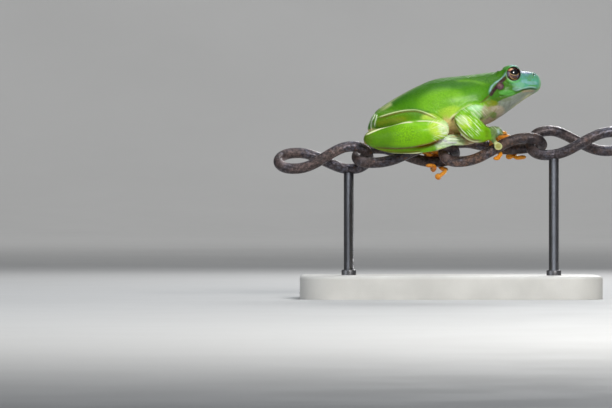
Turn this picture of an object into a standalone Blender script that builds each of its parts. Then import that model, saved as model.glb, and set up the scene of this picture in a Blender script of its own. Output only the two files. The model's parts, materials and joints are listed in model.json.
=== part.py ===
"""A life-size Mediterranean tree frog sitting on a short cut of twisted chain, on a display stand.

Sizes are in millimetres. X runs towards the snout, Y towards the frog's left side and Z up.
Heights are counted from the middle of the chain; an empty lifts everything by PERCH_HEIGHT.
"""

import math

import bmesh
import bpy
import numpy as np
from mathutils import Vector
from mathutils.bvhtree import BVHTree

MM = 0.001
GAP = 0.3  # room between solids that touch
PERCH_HEIGHT = 38.0  # middle of the chain above the table

# Chain: the wire, how wide a link is, and the points where one link hooks into the next.
WIRE_RADIUS = 1.42
LINK_HALF_WIDTH = 4.3
LINK_END = 4.2  # length of a link's round end along its middle line
TWIST_REACH = 0.55  # share of the half length over which an arm rises or falls fully
HOOKS = [(-43.0, -2.4), (-22.7, -1.35), (-0.2, -0.4), (22.5, 1.5), (45.1, 2.8)]
# How far each link's front arm stands above its axis at left and right, and its back arm.
ARM_RISES = [
    ((-2.1, 3.0), (2.1, -2.9)),
    ((-1.6, 2.4), (2.2, -2.0)),
    ((-2.4, 2.4), (2.6, -0.2)),
    ((-2.5, 2.6), (3.9, -2.3)),
]

# Trunk: x, back line, belly line, half width, share of the height where it is widest.
TRUNK = [
    (-21.5, 6.5, 5.5, 0.5, 0.50),
    (-20.9, 8.2, 4.8, 2.2, 0.46),
    (-19.4, 10.5, 4.2, 4.2, 0.42),
    (-16.6, 12.6, 4.0, 6.0, 0.42),
    (-12.8, 14.9, 3.9, 7.6, 0.42),
    (-8.6, 17.1, 4.0, 8.8, 0.42),
    (-4.2, 18.9, 4.1, 9.2, 0.42),
    (0.2, 19.6, 4.3, 8.9, 0.42),
    (4.6, 20.0, 5.0, 8.0, 0.44),
    (8.2, 20.5, 6.6, 7.4, 0.46),
    (11.0, 20.8, 7.8, 7.7, 0.46),
    (13.4, 21.0, 9.3, 7.7, 0.44),
    (15.8, 21.1, 11.0, 7.2, 0.42),
    (18.0, 21.2, 12.7, 6.2, 0.40),
    (20.2, 21.0, 14.2, 4.9, 0.40),
    (21.9, 20.6, 15.2, 3.6, 0.42),
    (23.1, 19.8, 16.0, 2.2, 0.45),
    (23.65, 18.7, 17.1, 0.9, 0.5),
]
BACK_SQUARENESS = 2.35
BELLY_SQUARENESS = 2.1
NECK_X = 9.6

# Head: the eye's middle, its sizes, and the lines that run over the head, seen from the side.
EYE = (15.9, 4.55, 20.1)
EYE_RADIUS = 2.3
BROW_RADIUS = 2.65
BROW_REAR = (14.0, 3.8, 20.0)  # middle of the bulge behind the eye
BROW_REAR_RADIUS = 2.2
EYE_OPENING = 2.0
EYE_LOOKS = (0.16, 1.0, 0.10)
MOUTH_LINE = [(23.9, 16.35), (22.3, 16.3), (19.5, 16.15), (17.2, 15.5), (13.8, 14.7), (11.6, 14.2)]
MOUTH_GROOVE = 0.26
LIP_LIFT = 0.5  # height of the upper lip's middle above the mouth
LIP_RADIUS = 0.5
UPPER_LID_RADIUS = 0.5
LOWER_LID_RADIUS = 0.34
EAR_FOLD = [(14.3, 18.6), (13.2, 18.1), (11.9, 17.0), (10.9, 15.4), (10.3, 13.9)]
EAR_DRUM = (12.7, 16.9)
EAR_DRUM_RADIUS = 0.95
NOSTRIL = (21.85, 20.2)

# Limbs of the right side: x, y, z, half thickness across, half thickness upwards.
THIGH = [
    (-17.6, -3.4, 8.0, 3.0, 2.7),
    (-13.0, -6.4, 7.9, 3.3, 3.2),
    (-8.5, -8.9, 7.5, 3.1, 3.3),
    (-4.6, -10.4, 6.8, 2.4, 2.9),
    (-2.5, -11.0, 6.2, 1.9, 2.2),
]
SHANK = [
    (-2.6, -11.9, 5.6, 1.9, 2.5),
    (-6.4, -12.4, 4.9, 2.6, 3.2),
    (-11.0, -12.3, 4.3, 2.9, 3.5),
    (-15.8, -11.2, 3.7, 2.3, 2.9),
    (-20.7, -9.6, 3.4, 1.5, 2.1),
]
TARSUS = [
    (-20.3, -9.0, 2.5, 1.2, 1.4),
    (-17.0, -9.5, 1.2, 1.2, 1.4),
    (-12.0, -9.6, 0.6, 1.2, 1.2),
    (-7.0, -9.0, 0.8, 1.2, 1.2),
    (-2.8, -7.9, 1.7, 1.4, 1.3),
]
UPPER_ARM = [
    (8.0, -5.2, 11.2, 2.6, 2.5),
    (5.6, -8.0, 10.1, 2.2, 2.2),
    (3.1, -9.9, 8.8, 1.9, 2.0),
]
FOREARM = [
    (2.7, -9.9, 8.2, 1.8, 2.1),
    (4.3, -9.8, 6.9, 2.4, 3.0),
    (6.4, -9.0, 5.3, 2.4, 3.1),
    (8.7, -7.7, 4.5, 1.7, 2.2),
    (10.2, -6.5, 4.7, 1.2, 1.6),
]
LEFT_FOREARM = [
    (2.7, 9.9, 8.4, 1.8, 1.9),
    (5.1, 10.3, 7.2, 2.5, 2.6),
    (8.0, 9.8, 5.8, 2.3, 2.4),
    (11.2, 8.6, 4.6, 1.5, 1.6),
    (13.0, 7.5, 4.0, 1.1, 1.2),
]
HIND_FOOT = [(-3.2, -7.8, 1.9, 1.4, 1.4), (-0.6, -7.1, 2.9, 1.5, 1.5), (1.6, -6.3, 3.4, 1.4, 1.1)]
LEFT_HIND_FOOT = [(-3.2, 7.8, 1.7, 1.4, 1.2), (-2.9, 7.4, 0.0, 1.4, 1.0), (-3.4, 6.5, -1.3, 1.4, 0.8)]
PALM = [(10.0, -6.6, 5.1, 1.1, 1.2), (11.2, -5.8, 5.5, 1.3, 1.2), (12.2, -5.1, 5.4, 1.3, 0.9)]
LEFT_PALM = [(13.0, 7.6, 4.1, 1.1, 1.1), (14.4, 7.0, 4.0, 1.3, 1.0), (15.6, 6.5, 3.7, 1.2, 0.8)]
DIGIT_RADIUS = 0.58
DIGIT_ROOT_RADIUS = 0.68
DIGIT_END_RADIUS = 0.5
DISC_RADIUS = 1.0
FRONT_DISC_RADIUS = 1.15  # the finger that lies on the third link's face
DISC_THICKNESS = 0.48
WEB_THICKNESS = 0.5

# Stand: a flat base and two rods up to the outer links.
BASE_SIZE = (78.0, 44.0, 6.0)
BASE_CORNER = 9.0
ROD_RADIUS = 1.3
ROD_PLACES = [("left", 0, 0.55, -1), ("right", 3, -0.55, 1)]  # name, link, share of it, arm

# Materials: linear colour, roughness, metallic.
GREEN = ((0.16, 0.42, 0.03), 0.38, 0.0)
LIME = ((0.28, 0.55, 0.06), 0.38, 0.0)
ORANGE = ((0.75, 0.33, 0.05), 0.42, 0.0)
EYE_BROWN = ((0.10, 0.05, 0.03), 0.08, 0.0)
RUSTY_STEEL = ((0.07, 0.045, 0.04), 0.55, 0.7)
STAND_GREY = ((0.55, 0.54, 0.52), 0.45, 0.0)


def clear_scene():
    for thing in list(bpy.data.objects):
        bpy.data.objects.remove(thing)


def paint(thing, look):
    """Gives a thing its own material: colour, roughness and metallic value."""
    colour, roughness, metallic = look
    material = bpy.data.materials.new(thing.name)
    material.use_nodes = True
    shader = material.node_tree.nodes["Principled BSDF"]
    shader.inputs["Base Color"].default_value = (*colour, 1)
    shader.inputs["Roughness"].default_value = roughness
    shader.inputs["Metallic"].default_value = metallic
    thing.data.materials.clear()
    thing.data.materials.append(material)


def object_from(name, mesh):
    """Turns a bmesh in millimetres into an object under the empty that sets the height."""
    bmesh.ops.scale(mesh, vec=(MM, MM, MM), verts=mesh.verts)
    bmesh.ops.recalc_face_normals(mesh, faces=mesh.faces)
    data = bpy.data.meshes.new(name)
    mesh.to_mesh(data)
    mesh.free()
    thing = bpy.data.objects.new(name, data)
    bpy.context.scene.collection.objects.link(thing)
    thing.parent = bpy.data.objects["perch_level"]
    return thing


def delete(things):
    for thing in things:
        bpy.data.objects.remove(thing)


def apply_modifiers(thing):
    """Replaces a thing's mesh by what its modifiers make of it."""
    bpy.context.view_layer.update()
    graph = bpy.context.evaluated_depsgraph_get()
    made = bpy.data.meshes.new_from_object(thing.evaluated_get(graph))
    thing.modifiers.clear()
    thing.data = made


def keep_largest(thing):
    """Drops all but the largest closed surface, such as scraps that a cut leaves."""
    mesh = bmesh.new()
    mesh.from_mesh(thing.data)
    left = set(mesh.verts)
    shells = []
    while left:
        todo = [left.pop()]
        shell = set(todo)
        while todo:
            for edge in todo.pop().link_edges:
                for vert in edge.verts:
                    if vert in left:
                        left.discard(vert)
                        shell.add(vert)
                        todo.append(vert)
        shells.append(shell)
    largest = max(shells, key=len)
    bmesh.ops.delete(mesh, geom=[v for v in mesh.verts if v not in largest], context="VERTS")
    mesh.to_mesh(thing.data)
    mesh.free()


def combine(thing, others, operation):
    """Joins others to a thing, or cuts them out of it, and removes them."""
    group = bpy.data.collections.new("pieces")
    bpy.context.scene.collection.children.link(group)
    for other in others:
        group.objects.link(other)
    modifier = thing.modifiers.new("combine", "BOOLEAN")
    modifier.operation = operation
    modifier.operand_type = "COLLECTION"
    modifier.collection = group
    modifier.solver = "EXACT"
    apply_modifiers(thing)
    delete(others)
    bpy.data.collections.remove(group)
    keep_largest(thing)


def grown(thing, by):
    """A copy of a thing whose surface stands out by so many millimetres."""
    copy = thing.copy()
    copy.data = thing.data.copy()
    bpy.context.scene.collection.objects.link(copy)
    modifier = copy.modifiers.new("grow", "DISPLACE")
    modifier.strength = by * MM
    modifier.mid_level = 0.0
    apply_modifiers(copy)
    return copy


def one_solid(pieces, look):
    """Unites overlapping pieces into the first, and keeps grown copies of them for make_room."""
    thing = pieces[0]
    rooms[thing.name] = [grown(piece, GAP) for piece in pieces]
    if pieces[1:]:
        combine(thing, pieces[1:], "UNION")
    paint(thing, look)
    return thing


def make_room(name, neighbours):
    """Cuts a solid back so that its neighbours have a gap all round."""
    thing = bpy.data.objects[name]
    for neighbour in neighbours:
        combine(thing, [grown(room, 0.0) for room in rooms[neighbour]], "DIFFERENCE")


def smooth_rows(rows, count):
    """Reads count rows from a smooth curve through the given rows; the first three columns are a place."""
    rows = np.array(rows, float)
    steps = np.linalg.norm(np.diff(rows[:, :3], axis=0), axis=1)
    knots = np.concatenate([[0.0], np.cumsum(steps)])
    slopes = np.gradient(rows, knots, axis=0)
    at = np.linspace(0, knots[-1], count)
    first = np.clip(np.searchsorted(knots, at, side="right") - 1, 0, len(rows) - 2)
    span = (knots[first + 1] - knots[first])[:, None]
    t = (at - knots[first])[:, None] / span
    start, end = rows[first], rows[first + 1]
    start_slope, end_slope = slopes[first] * span, slopes[first + 1] * span
    return (
        (2 * t**3 - 3 * t**2 + 1) * start
        + (t**3 - 2 * t**2 + t) * start_slope
        + (3 * t**2 - 2 * t**3) * end
        + (t**3 - t**2) * end_slope
    )


def unit(vector):
    return vector / np.linalg.norm(vector)


def frames_along(path, up):
    """Tangent, sideways and upward directions along a path, carried on without spin."""
    tangents = [unit(step) for step in np.gradient(path, axis=0)]
    high = np.array(up, float)
    frames = []
    for tangent in tangents:
        high = unit(high - tangent * (high @ tangent))
        frames.append((tangent, np.cross(high, tangent), high))
    return frames


def shell_over(name, rings, first_tip=None, last_tip=None):
    """A closed mesh over rings of points; each end is drawn to a tip, or closed flat without one."""
    mesh = bmesh.new()
    loops = [[mesh.verts.new(point) for point in ring] for ring in rings]
    sides = len(loops[0])
    for low, high in zip(loops, loops[1:]):
        for k in range(sides):
            after = (k + 1) % sides
            mesh.faces.new((low[k], low[after], high[after], high[k]))
    for loop, tip in ((loops[0], first_tip), (loops[-1], last_tip)):
        if tip is None:
            mesh.faces.new(loop)
        else:
            point = mesh.verts.new(tip)
            for k in range(sides):
                mesh.faces.new((loop[k], loop[(k + 1) % sides], point))
    return object_from(name, mesh)


def limb(name, rows, rings, sides, up=(0, 0, 1)):
    """A round-ended limb along rows of x, y, z, half thickness across and half thickness upwards."""
    stations = smooth_rows(rows, rings)
    path = stations[:, :3]
    frames = frames_along(path, up)
    turns = np.linspace(0, 2 * math.pi, sides, endpoint=False)

    def ring(index, along, share):
        tangent, across, high = frames[index]
        wide, tall = stations[index, 3:5] * share
        middle = path[index] + tangent * along
        return [middle + across * wide * math.cos(a) + high * tall * math.sin(a) for a in turns]

    bends = [math.radians(a) for a in (30, 62)]
    start, end = stations[0, 3:5].mean(), stations[-1, 3:5].mean()
    shell = [ring(0, -start * math.sin(b), math.cos(b)) for b in reversed(bends)]
    shell += [ring(k, 0.0, 1.0) for k in range(rings)]
    shell += [ring(-1, end * math.sin(b), math.cos(b)) for b in bends]
    first_tip = path[0] - frames[0][0] * start
    last_tip = path[-1] + frames[-1][0] * end
    return shell_over(name, shell, first_tip, last_tip)


def ball(name, middle, radii, segments=12, rings=8, facing=(0, 0, 1)):
    """An ellipsoid of three radii whose third axis faces a direction."""
    mesh = bmesh.new()
    bmesh.ops.create_uvsphere(mesh, u_segments=segments, v_segments=rings, radius=1.0)
    bmesh.ops.scale(mesh, vec=radii, verts=mesh.verts)
    turn = Vector(facing).to_track_quat("Z", "Y").to_matrix()
    bmesh.ops.rotate(mesh, matrix=turn, verts=mesh.verts)
    bmesh.ops.translate(mesh, vec=middle, verts=mesh.verts)
    return object_from(name, mesh)


def mirrored(rows):
    return [(x, -y, *rest) for x, y, *rest in rows]


def link_point(link, share, arm):
    """Middle of a link's wire at a share of its half length, on its front (1) or back (-1) arm."""
    hooks = np.array([(x, 0.0, z) for x, z in HOOKS[link : link + 2]])
    run = np.linalg.norm(hooks[1] - hooks[0])
    ahead = (hooks[1] - hooks[0]) / run
    high = np.array([-ahead[2], 0, ahead[0]])
    half_length = run / 2 + WIRE_RADIUS + GAP / 2
    past_bend = max(0.0, abs(share) * half_length - half_length + LINK_END) / LINK_END
    width = LINK_HALF_WIDTH * math.sqrt(max(0.0, 1 - past_bend**2.2))
    left, right = ARM_RISES[link][0 if arm > 0 else 1]
    rise = (right if share > 0 else left) / LINK_HALF_WIDTH
    rise *= math.sin(math.pi / 2 * min(1.0, abs(share) / TWIST_REACH))
    depth = math.sqrt(1 - rise**2)
    level = hooks.mean(axis=0) + ahead * share * half_length
    return level + width * (high * rise - arm * depth * np.array([0, 1, 0]))


def link_middles(link, stations):
    """Points round a link's wire, closest together at its round ends."""
    middles = []
    for k in range(stations):
        around = 2 * math.pi * (k + 0.5) / stations
        share = math.copysign(abs(math.cos(around)) ** 0.72, math.cos(around))
        middles.append(link_point(link, share, 1 if around < math.pi else -1))
    return np.array(middles)


def by_wire(link, share, arm, turn, reach=WIRE_RADIUS + GAP + DIGIT_RADIUS):
    """A point beside a link's wire: turn is 0 above it, 90 in front, 180 below and -90 behind."""
    tangent = unit(link_point(link, share + 0.01, arm) - link_point(link, share - 0.01, arm))
    high = unit(np.array([0, 0, 1.0]) - tangent * tangent[2])
    front = np.cross(high, tangent)
    front = front if front[1] < 0 else -front
    turn = math.radians(turn)
    return link_point(link, share, arm) + reach * (math.cos(turn) * high + math.sin(turn) * front)


def wrap(link, arm, start, end, reach=None):
    """Points of a digit that runs round a link's wire from one (share, turn) to another."""
    reach = reach or WIRE_RADIUS + GAP + DIGIT_RADIUS + 0.1
    steps = 1 + math.ceil(abs(end[1] - start[1]) / 35)
    points = []
    for k in range(steps + 1):
        share, turn = (a + (b - a) * k / steps for a, b in zip(start, end))
        points.append(by_wire(link, share, arm, turn, reach))
    return points


def link(index):
    """One twisted link of round wire."""
    stations, sides = 28, 8
    middles = link_middles(index, stations)
    turns = np.linspace(0, 2 * math.pi, sides, endpoint=False)
    centre = middles.mean(axis=0)
    mesh = bmesh.new()
    loops = []
    for k, middle in enumerate(middles):
        tangent = unit(middles[(k + 1) % stations] - middles[k - 1])
        outward = unit((middle - centre) - tangent * ((middle - centre) @ tangent))
        across = np.cross(tangent, outward)
        ring = [WIRE_RADIUS * (math.cos(a) * outward + math.sin(a) * across) for a in turns]
        loops.append([mesh.verts.new(middle + place) for place in ring])
    for k, loop in enumerate(loops):
        ahead = loops[(k + 1) % stations]
        for n in range(sides):
            m = (n + 1) % sides
            mesh.faces.new((loop[n], loop[m], ahead[m], ahead[n]))
    return one_solid([object_from(f"chain_link_{index + 1}", mesh)], RUSTY_STEEL)


def trunk(name):
    """Head and torso in one smooth shell, from the rows of TRUNK."""
    rows = np.array(TRUNK)
    places = np.column_stack([rows[:, 0], (rows[:, 1] + rows[:, 2]) / 2, rows[:, 1:]])
    stations = smooth_rows(np.column_stack([places[:, 0], 0 * places[:, 0], places[:, 1:]]), 90)
    turns = np.linspace(0, 2 * math.pi, 56, endpoint=False)
    rings = []
    for x, _, _, top, bottom, half_width, widest in stations:
        level = bottom + (top - bottom) * widest
        ring = []
        for a in turns:
            squareness = BACK_SQUARENESS if math.sin(a) > 0 else BELLY_SQUARENESS
            side = math.copysign(abs(math.cos(a)) ** (2 / squareness), math.cos(a))
            rise = math.copysign(abs(math.sin(a)) ** (2 / squareness), math.sin(a))
            height = top - level if rise > 0 else level - bottom
            ring.append((x, half_width * side, level + height * rise))
        rings.append(ring)
    first = (stations[0, 0] - 0.15, 0, stations[0, 2])
    last = (stations[-1, 0] + 0.12, 0, stations[-1, 2])
    return shell_over(name, rings, first, last)


def side_point(tree, x, z, side):
    """The point of a surface that shows at x, z in a side view; side is -1 for the right."""
    level = (z + PERCH_HEIGHT) * MM
    hit = tree.ray_cast(Vector((x * MM, side * 30 * MM, level)), Vector((0, -side, 0)))[0]
    return None if hit is None else np.array(hit) / MM - np.array([0, 0, PERCH_HEIGHT])


def surface_tree(thing):
    bpy.context.view_layer.update()
    mesh = bmesh.new()
    mesh.from_mesh(thing.data)
    mesh.transform(thing.matrix_world)
    tree = BVHTree.FromBMesh(mesh)
    mesh.free()
    return tree


def eye_middle(side):
    return np.array([EYE[0], side * EYE[1], EYE[2]])


def eye_direction(side):
    return unit(np.array([EYE_LOOKS[0], side * EYE_LOOKS[1], EYE_LOOKS[2]]))


def remesh_and_smooth(thing, voxel, rounds):
    """Melts overlapping closed shells into one skin and rounds where they meet."""
    remesh = thing.modifiers.new("melt", "REMESH")
    remesh.mode = "VOXEL"
    remesh.voxel_size = voxel * MM
    smooth = thing.modifiers.new("round", "SMOOTH")
    smooth.factor = 0.5
    smooth.iterations = rounds
    apply_modifiers(thing)


def join(thing, others):
    """Puts other meshes into a thing's mesh as they are."""
    mesh = bmesh.new()
    mesh.from_mesh(thing.data)
    for other in others:
        mesh.from_mesh(other.data)
    mesh.to_mesh(thing.data)
    mesh.free()
    delete(others)


def thin_out(thing, triangles):
    """Brings a mesh down to about so many triangles, fewest where it is flat."""
    thing.data.calc_loop_triangles()
    modifier = thing.modifiers.new("thin", "DECIMATE")
    modifier.ratio = min(1.0, triangles / len(thing.data.loop_triangles))
    modifier.use_collapse_triangulate = True
    apply_modifiers(thing)


def half_at_neck(thing, name, keep_front):
    """The part of a shell before or behind the neck's cut, closed flat."""
    mesh = bmesh.new()
    mesh.from_mesh(thing.data)
    place = (NECK_X + (GAP / 2 if keep_front else -GAP / 2)) * MM
    cut = bmesh.ops.bisect_plane(
        mesh,
        geom=mesh.verts[:] + mesh.edges[:] + mesh.faces[:],
        plane_co=(place, 0, 0),
        plane_no=(1, 0, 0),
        clear_inner=keep_front,
        clear_outer=not keep_front,
    )
    edges = [part for part in cut["geom_cut"] if isinstance(part, bmesh.types.BMEdge)]
    bmesh.ops.triangle_fill(mesh, edges=edges, use_beauty=True)
    bmesh.ops.scale(mesh, vec=(1 / MM,) * 3, verts=mesh.verts)
    return object_from(name, mesh)


def around_eye(side, turn, reach, depth):
    """A point on a circle round the eye's axis; turn is 0 in front of the eye and 90 above it."""
    facing = eye_direction(side)
    ahead = unit(np.array([1.0, 0, 0]) - facing * facing[0])
    high = np.cross(facing, ahead)
    high = high if high[2] > 0 else -high
    turn = math.radians(turn)
    return eye_middle(side) + facing * depth + reach * (math.cos(turn) * ahead + math.sin(turn) * high)


def lid(side, start, end, size):
    """A rounded rim along part of the eye's opening."""
    reach = EYE_OPENING + 0.1
    depth = math.sqrt(BROW_RADIUS**2 - reach**2)
    steps = np.linspace(start, end, 9)
    thick = [size * (0.55 + 0.45 * math.sin(math.pi * k / 8)) for k in range(9)]
    rows = [(*around_eye(side, turn, reach, depth), d, d) for turn, d in zip(steps, thick)]
    return limb("lid", rows, 14, 8, eye_direction(side))


def brow_and_ear(side, tree):
    """The pieces that the head's shell gains at one eye and ear: brow, lids, fold and drum."""
    facing = eye_direction(side)
    brow = ball("brow", eye_middle(side), (BROW_RADIUS,) * 3, 22, 14, facing)
    rear_middle = np.array(BROW_REAR) * (1, side, 1)
    rear = ball("brow_rear", rear_middle, (BROW_REAR_RADIUS,) * 3, 14, 9, facing)
    upper_lid = lid(side, -5, 185, UPPER_LID_RADIUS)
    lower_lid = lid(side, 175, 365, LOWER_LID_RADIUS)
    fold_rows = []
    for number, (x, z) in enumerate(EAR_FOLD):
        size = 0.42 - 0.04 * number
        fold_rows.append((*side_point(tree, x, z, side), size, size))
    fold = limb("fold", fold_rows, 10, 8)
    drum_middle = side_point(tree, *EAR_DRUM, side)
    drum = ball("drum", drum_middle, (EAR_DRUM_RADIUS, EAR_DRUM_RADIUS, 0.3), 16, 8, (0, side, 0.25))
    return [brow, rear, upper_lid, lower_lid, fold, drum]


def on_surface(tree, place, sunk):
    """The nearest point of a surface to a place, moved inwards by so many millimetres."""
    world = Vector((place + np.array([0, 0, PERCH_HEIGHT])) * MM)
    near, normal, _, _ = tree.find_nearest(world)
    return np.array(near) / MM - np.array(normal) * sunk - np.array([0, 0, PERCH_HEIGHT])


def mouth_path(tree, count):
    """Points along the closed mouth, from its right corner round the snout to its left one."""
    right = [side_point(tree, x, z, -1) for x, z in MOUTH_LINE]
    right = [point for point in right if point is not None]
    tip_height = MOUTH_LINE[0][1]
    hit = tree.ray_cast(Vector((0.1, 0, (tip_height + PERCH_HEIGHT) * MM)), Vector((-1, 0, 0)))[0]
    front = np.array([hit[0] / MM, 0, tip_height])
    left = [point * (1, -1, 1) for point in right]
    return smooth_rows(np.array(right[::-1] + [front] + left), count)


def upper_lip(tree):
    """A low rounded rim above the mouth, thinning towards its corners."""
    rows = []
    for number, place in enumerate(mouth_path(tree, 31)):
        size = LIP_RADIUS * (1 - 0.6 * abs(number - 15) / 15)
        rows.append((*on_surface(tree, place + np.array([0, 0, LIP_LIFT]), 0.6 * size), size, size))
    return limb("lip", rows, 40, 8)


def flesh():
    """The head and torso with the roots of the limbs, melted into one rounded shell."""
    body = trunk("flesh")
    tree = surface_tree(body)
    pieces = brow_and_ear(-1, tree) + brow_and_ear(1, tree) + [upper_lip(tree)]
    for turn in (list, mirrored):
        pieces.append(limb("root", turn(THIGH), 20, 20))
        pieces.append(limb("root", turn(UPPER_ARM), 16, 20))
    join(body, pieces)
    remesh_and_smooth(body, 0.3, 5)
    keep_largest(body)
    return body


def mouth_cutter(tree):
    """A thin bent bar along the closed mouth, from one corner round the snout to the other."""
    places = [on_surface(tree, place, 0.0) for place in mouth_path(tree, 34)]
    return limb("mouth_cutter", [(*place, MOUTH_GROOVE, MOUTH_GROOVE) for place in places], 34, 5)


def eye_plug(name, side, radius, outer, inner):
    """A round plug on the eye's axis with a domed outer end, from inner to outer off its middle."""
    middle, facing = eye_middle(side), eye_direction(side)
    rings, sides = [], 20
    across = unit(np.cross(facing, (0, 0, 1)))
    high = np.cross(across, facing)
    turns = np.linspace(0, 2 * math.pi, sides, endpoint=False)
    steps = [(inner, radius)]
    for share in (1.0, 0.92, 0.74, 0.5, 0.25):
        reach = radius * share
        steps.append((math.sqrt(outer**2 - reach**2), reach))
    for depth, reach in steps:
        centre = middle + facing * depth
        rings.append([centre + reach * (math.cos(a) * across + math.sin(a) * high) for a in turns])
    return shell_over(name, rings, None, middle + facing * outer)


def head_from(body):
    head = half_at_neck(body, "head", True)
    thin_out(head, 2050)
    tree = surface_tree(head)
    cutters = [mouth_cutter(tree)]
    for side in (-1, 1):
        cutters.append(eye_plug("eye_cutter", side, EYE_OPENING, 6.0, 0.9))
        nostril = side_point(tree, *NOSTRIL, side)
        cutters.append(ball("nostril_cutter", nostril, (0.42, 0.28, 0.4), 8, 6, (0.2, side, 0.4)))
    combine(head, cutters, "DIFFERENCE")
    paint(head, GREEN)
    return head


def eye(side):
    name = "eye_right" if side < 0 else "eye_left"
    thing = eye_plug(name, side, EYE_OPENING - 0.25, EYE_RADIUS + 0.2, 0.9 + GAP)
    paint(thing, EYE_BROWN)
    return thing


def digit(points, disc_faces, disc_radius=DISC_RADIUS):
    """A finger or toe along points, with a round disc at its tip; disc_faces is where its pad looks."""
    rows = []
    for number, point in enumerate(points):
        share = number / (len(points) - 1)
        size = DIGIT_ROOT_RADIUS + (DIGIT_END_RADIUS - DIGIT_ROOT_RADIUS) * share
        rows.append((*point, size, size))
    facing = unit(np.array(disc_faces, float))
    disc = ball("disc", points[-1], (disc_radius, disc_radius * 0.92, DISC_THICKNESS), 8, 5, facing)
    return [limb("digit", rows, 8, 5), disc]


def web(path_a, path_b, reach):
    """A thin skin between two toes, over a share of their length, with a hollow outer edge."""
    steps, strips = 5, 4
    first = smooth_rows(np.array(path_a), 20)
    second = smooth_rows(np.array(path_b), 20)
    grid = []
    for n in range(strips + 1):
        across = n / strips
        hollow = reach * (1 - 0.45 * math.sin(math.pi * across))
        row = []
        for k in range(steps + 1):
            at = hollow * k / steps * 19
            low = int(min(18, at))
            a = first[low] + (first[low + 1] - first[low]) * (at - low)
            b = second[low] + (second[low + 1] - second[low]) * (at - low)
            row.append(a * (1 - across) + b * across)
        grid.append(row)
    grid = np.array(grid)
    along = grid[strips // 2, -1] - grid[strips // 2, 0]
    normal = unit(np.cross(along, grid[-1, 1] - grid[0, 1]))
    mesh = bmesh.new()
    sheets = []
    for offset in (-WEB_THICKNESS / 2, WEB_THICKNESS / 2):
        sheets.append([[mesh.verts.new(p + normal * offset) for p in row] for row in grid])
    bottom, top = sheets
    for n in range(strips):
        for k in range(steps):
            for sheet in (bottom, top):
                a, b = sheet[n][k], sheet[n + 1][k]
                c, d = sheet[n + 1][k + 1], sheet[n][k + 1]
                mesh.faces.new((a, b, c))
                mesh.faces.new((a, c, d))
    rim = [(n, 0) for n in range(strips)] + [(strips, k) for k in range(steps)]
    rim += [(n, steps) for n in range(strips, 0, -1)] + [(0, k) for k in range(steps, 0, -1)]
    for here, there in zip(rim, rim[1:] + rim[:1]):
        a, b = bottom[here[0]][here[1]], bottom[there[0]][there[1]]
        c, d = top[there[0]][there[1]], top[here[0]][here[1]]
        mesh.faces.new((a, b, c))
        mesh.faces.new((a, c, d))
    return object_from("web", mesh)


def extremity(name, root_rows, digits, web_reach):
    """A hand or foot: its root, its digits with their discs, and webs between neighbours."""
    pieces = [limb(name, root_rows, 8, 12)]
    for points, *pad in digits:
        pieces += digit(points, *pad)
    if web_reach:
        for first, second in zip(digits, digits[1:]):
            pieces.append(web(first[0], second[0], web_reach))
    return one_solid(pieces, ORANGE)


def right_hand_digits():
    """Four fingers on the third link's front arm: one down its face, the others over its top."""
    inner = [(11.6, -5.0, 5.2), *wrap(2, 1, (0.06, 0), (0.05, -60))]
    down = [(11.8, -5.9, 5.6), by_wire(2, 0.085, 1, 42, 3.6), *wrap(2, 1, (0.085, 62), (0.09, 86))]
    under = [(12.1, -5.3, 5.7), by_wire(2, 0.15, 1, 12, 3.0), *wrap(2, 1, (0.17, -20), (0.08, -150))]
    under.append(by_wire(2, -0.03, 1, -160, 2.5))
    outer = [(12.3, -5.4, 5.9), by_wire(2, 0.19, 1, 20, 4.1), *wrap(2, 1, (0.27, 4), (0.31, -26), 2.6)]
    return [
        (inner, (0, 1, 0.3)),
        (down, (0, -1, 0.1), FRONT_DISC_RADIUS),
        (under, (0, 0, 1)),
        (outer, (0.2, 0.5, 1)),
    ]


def left_hand_digits():
    """Four fingers round the third link's back arm; the outermost comes out below it."""
    inner = [(14.6, 6.6, 3.8), *wrap(2, -1, (0.30, -45), (0.27, 20))]
    over = [(15.4, 6.4, 3.8), *wrap(2, -1, (0.42, -40), (0.44, 40))]
    under = [(15.6, 6.6, 3.2), *wrap(2, -1, (0.37, -75), (0.34, -140))]
    outer = [(16.2, 6.4, 3.2), *wrap(2, -1, (0.44, -75), (0.46, -165)), by_wire(2, 0.60, -1, -186)]
    return [(inner, (0, 0, 1)), (over, (0, -0.5, 1)), (under, (0, 1, 0.6)), (outer, (0, 0.2, 1))]


def right_foot_digits():
    """Five toes that run forward over the hooked links, below the belly."""
    return [
        ([(-0.2, -6.2, 2.7), (1.2, -5.0, 3.7), (1.9, -3.6, 3.9), (2.2, -2.2, 3.7)], (0, 0, 1)),
        ([(0.6, -6.4, 2.9), (2.2, -5.2, 3.7), (3.4, -3.6, 3.6), (4.0, -2.0, 3.5)], (0, 0, 1)),
        ([(1.2, -6.4, 2.9), (3.0, -5.4, 3.4), (4.8, -4.0, 3.2), (5.9, -2.4, 3.4)], (0, 0, 1)),
        ([(1.4, -6.5, 2.6), (3.6, -6.0, 2.9), (5.8, -4.8, 2.8), (7.4, -3.2, 3.2)], (0, 0.2, 1)),
        ([(1.0, -6.8, 2.3), (2.6, -6.7, 2.3), (4.2, -6.2, 2.3), (5.4, -5.4, 2.6)], (0, 0.4, 1)),
    ]


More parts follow.
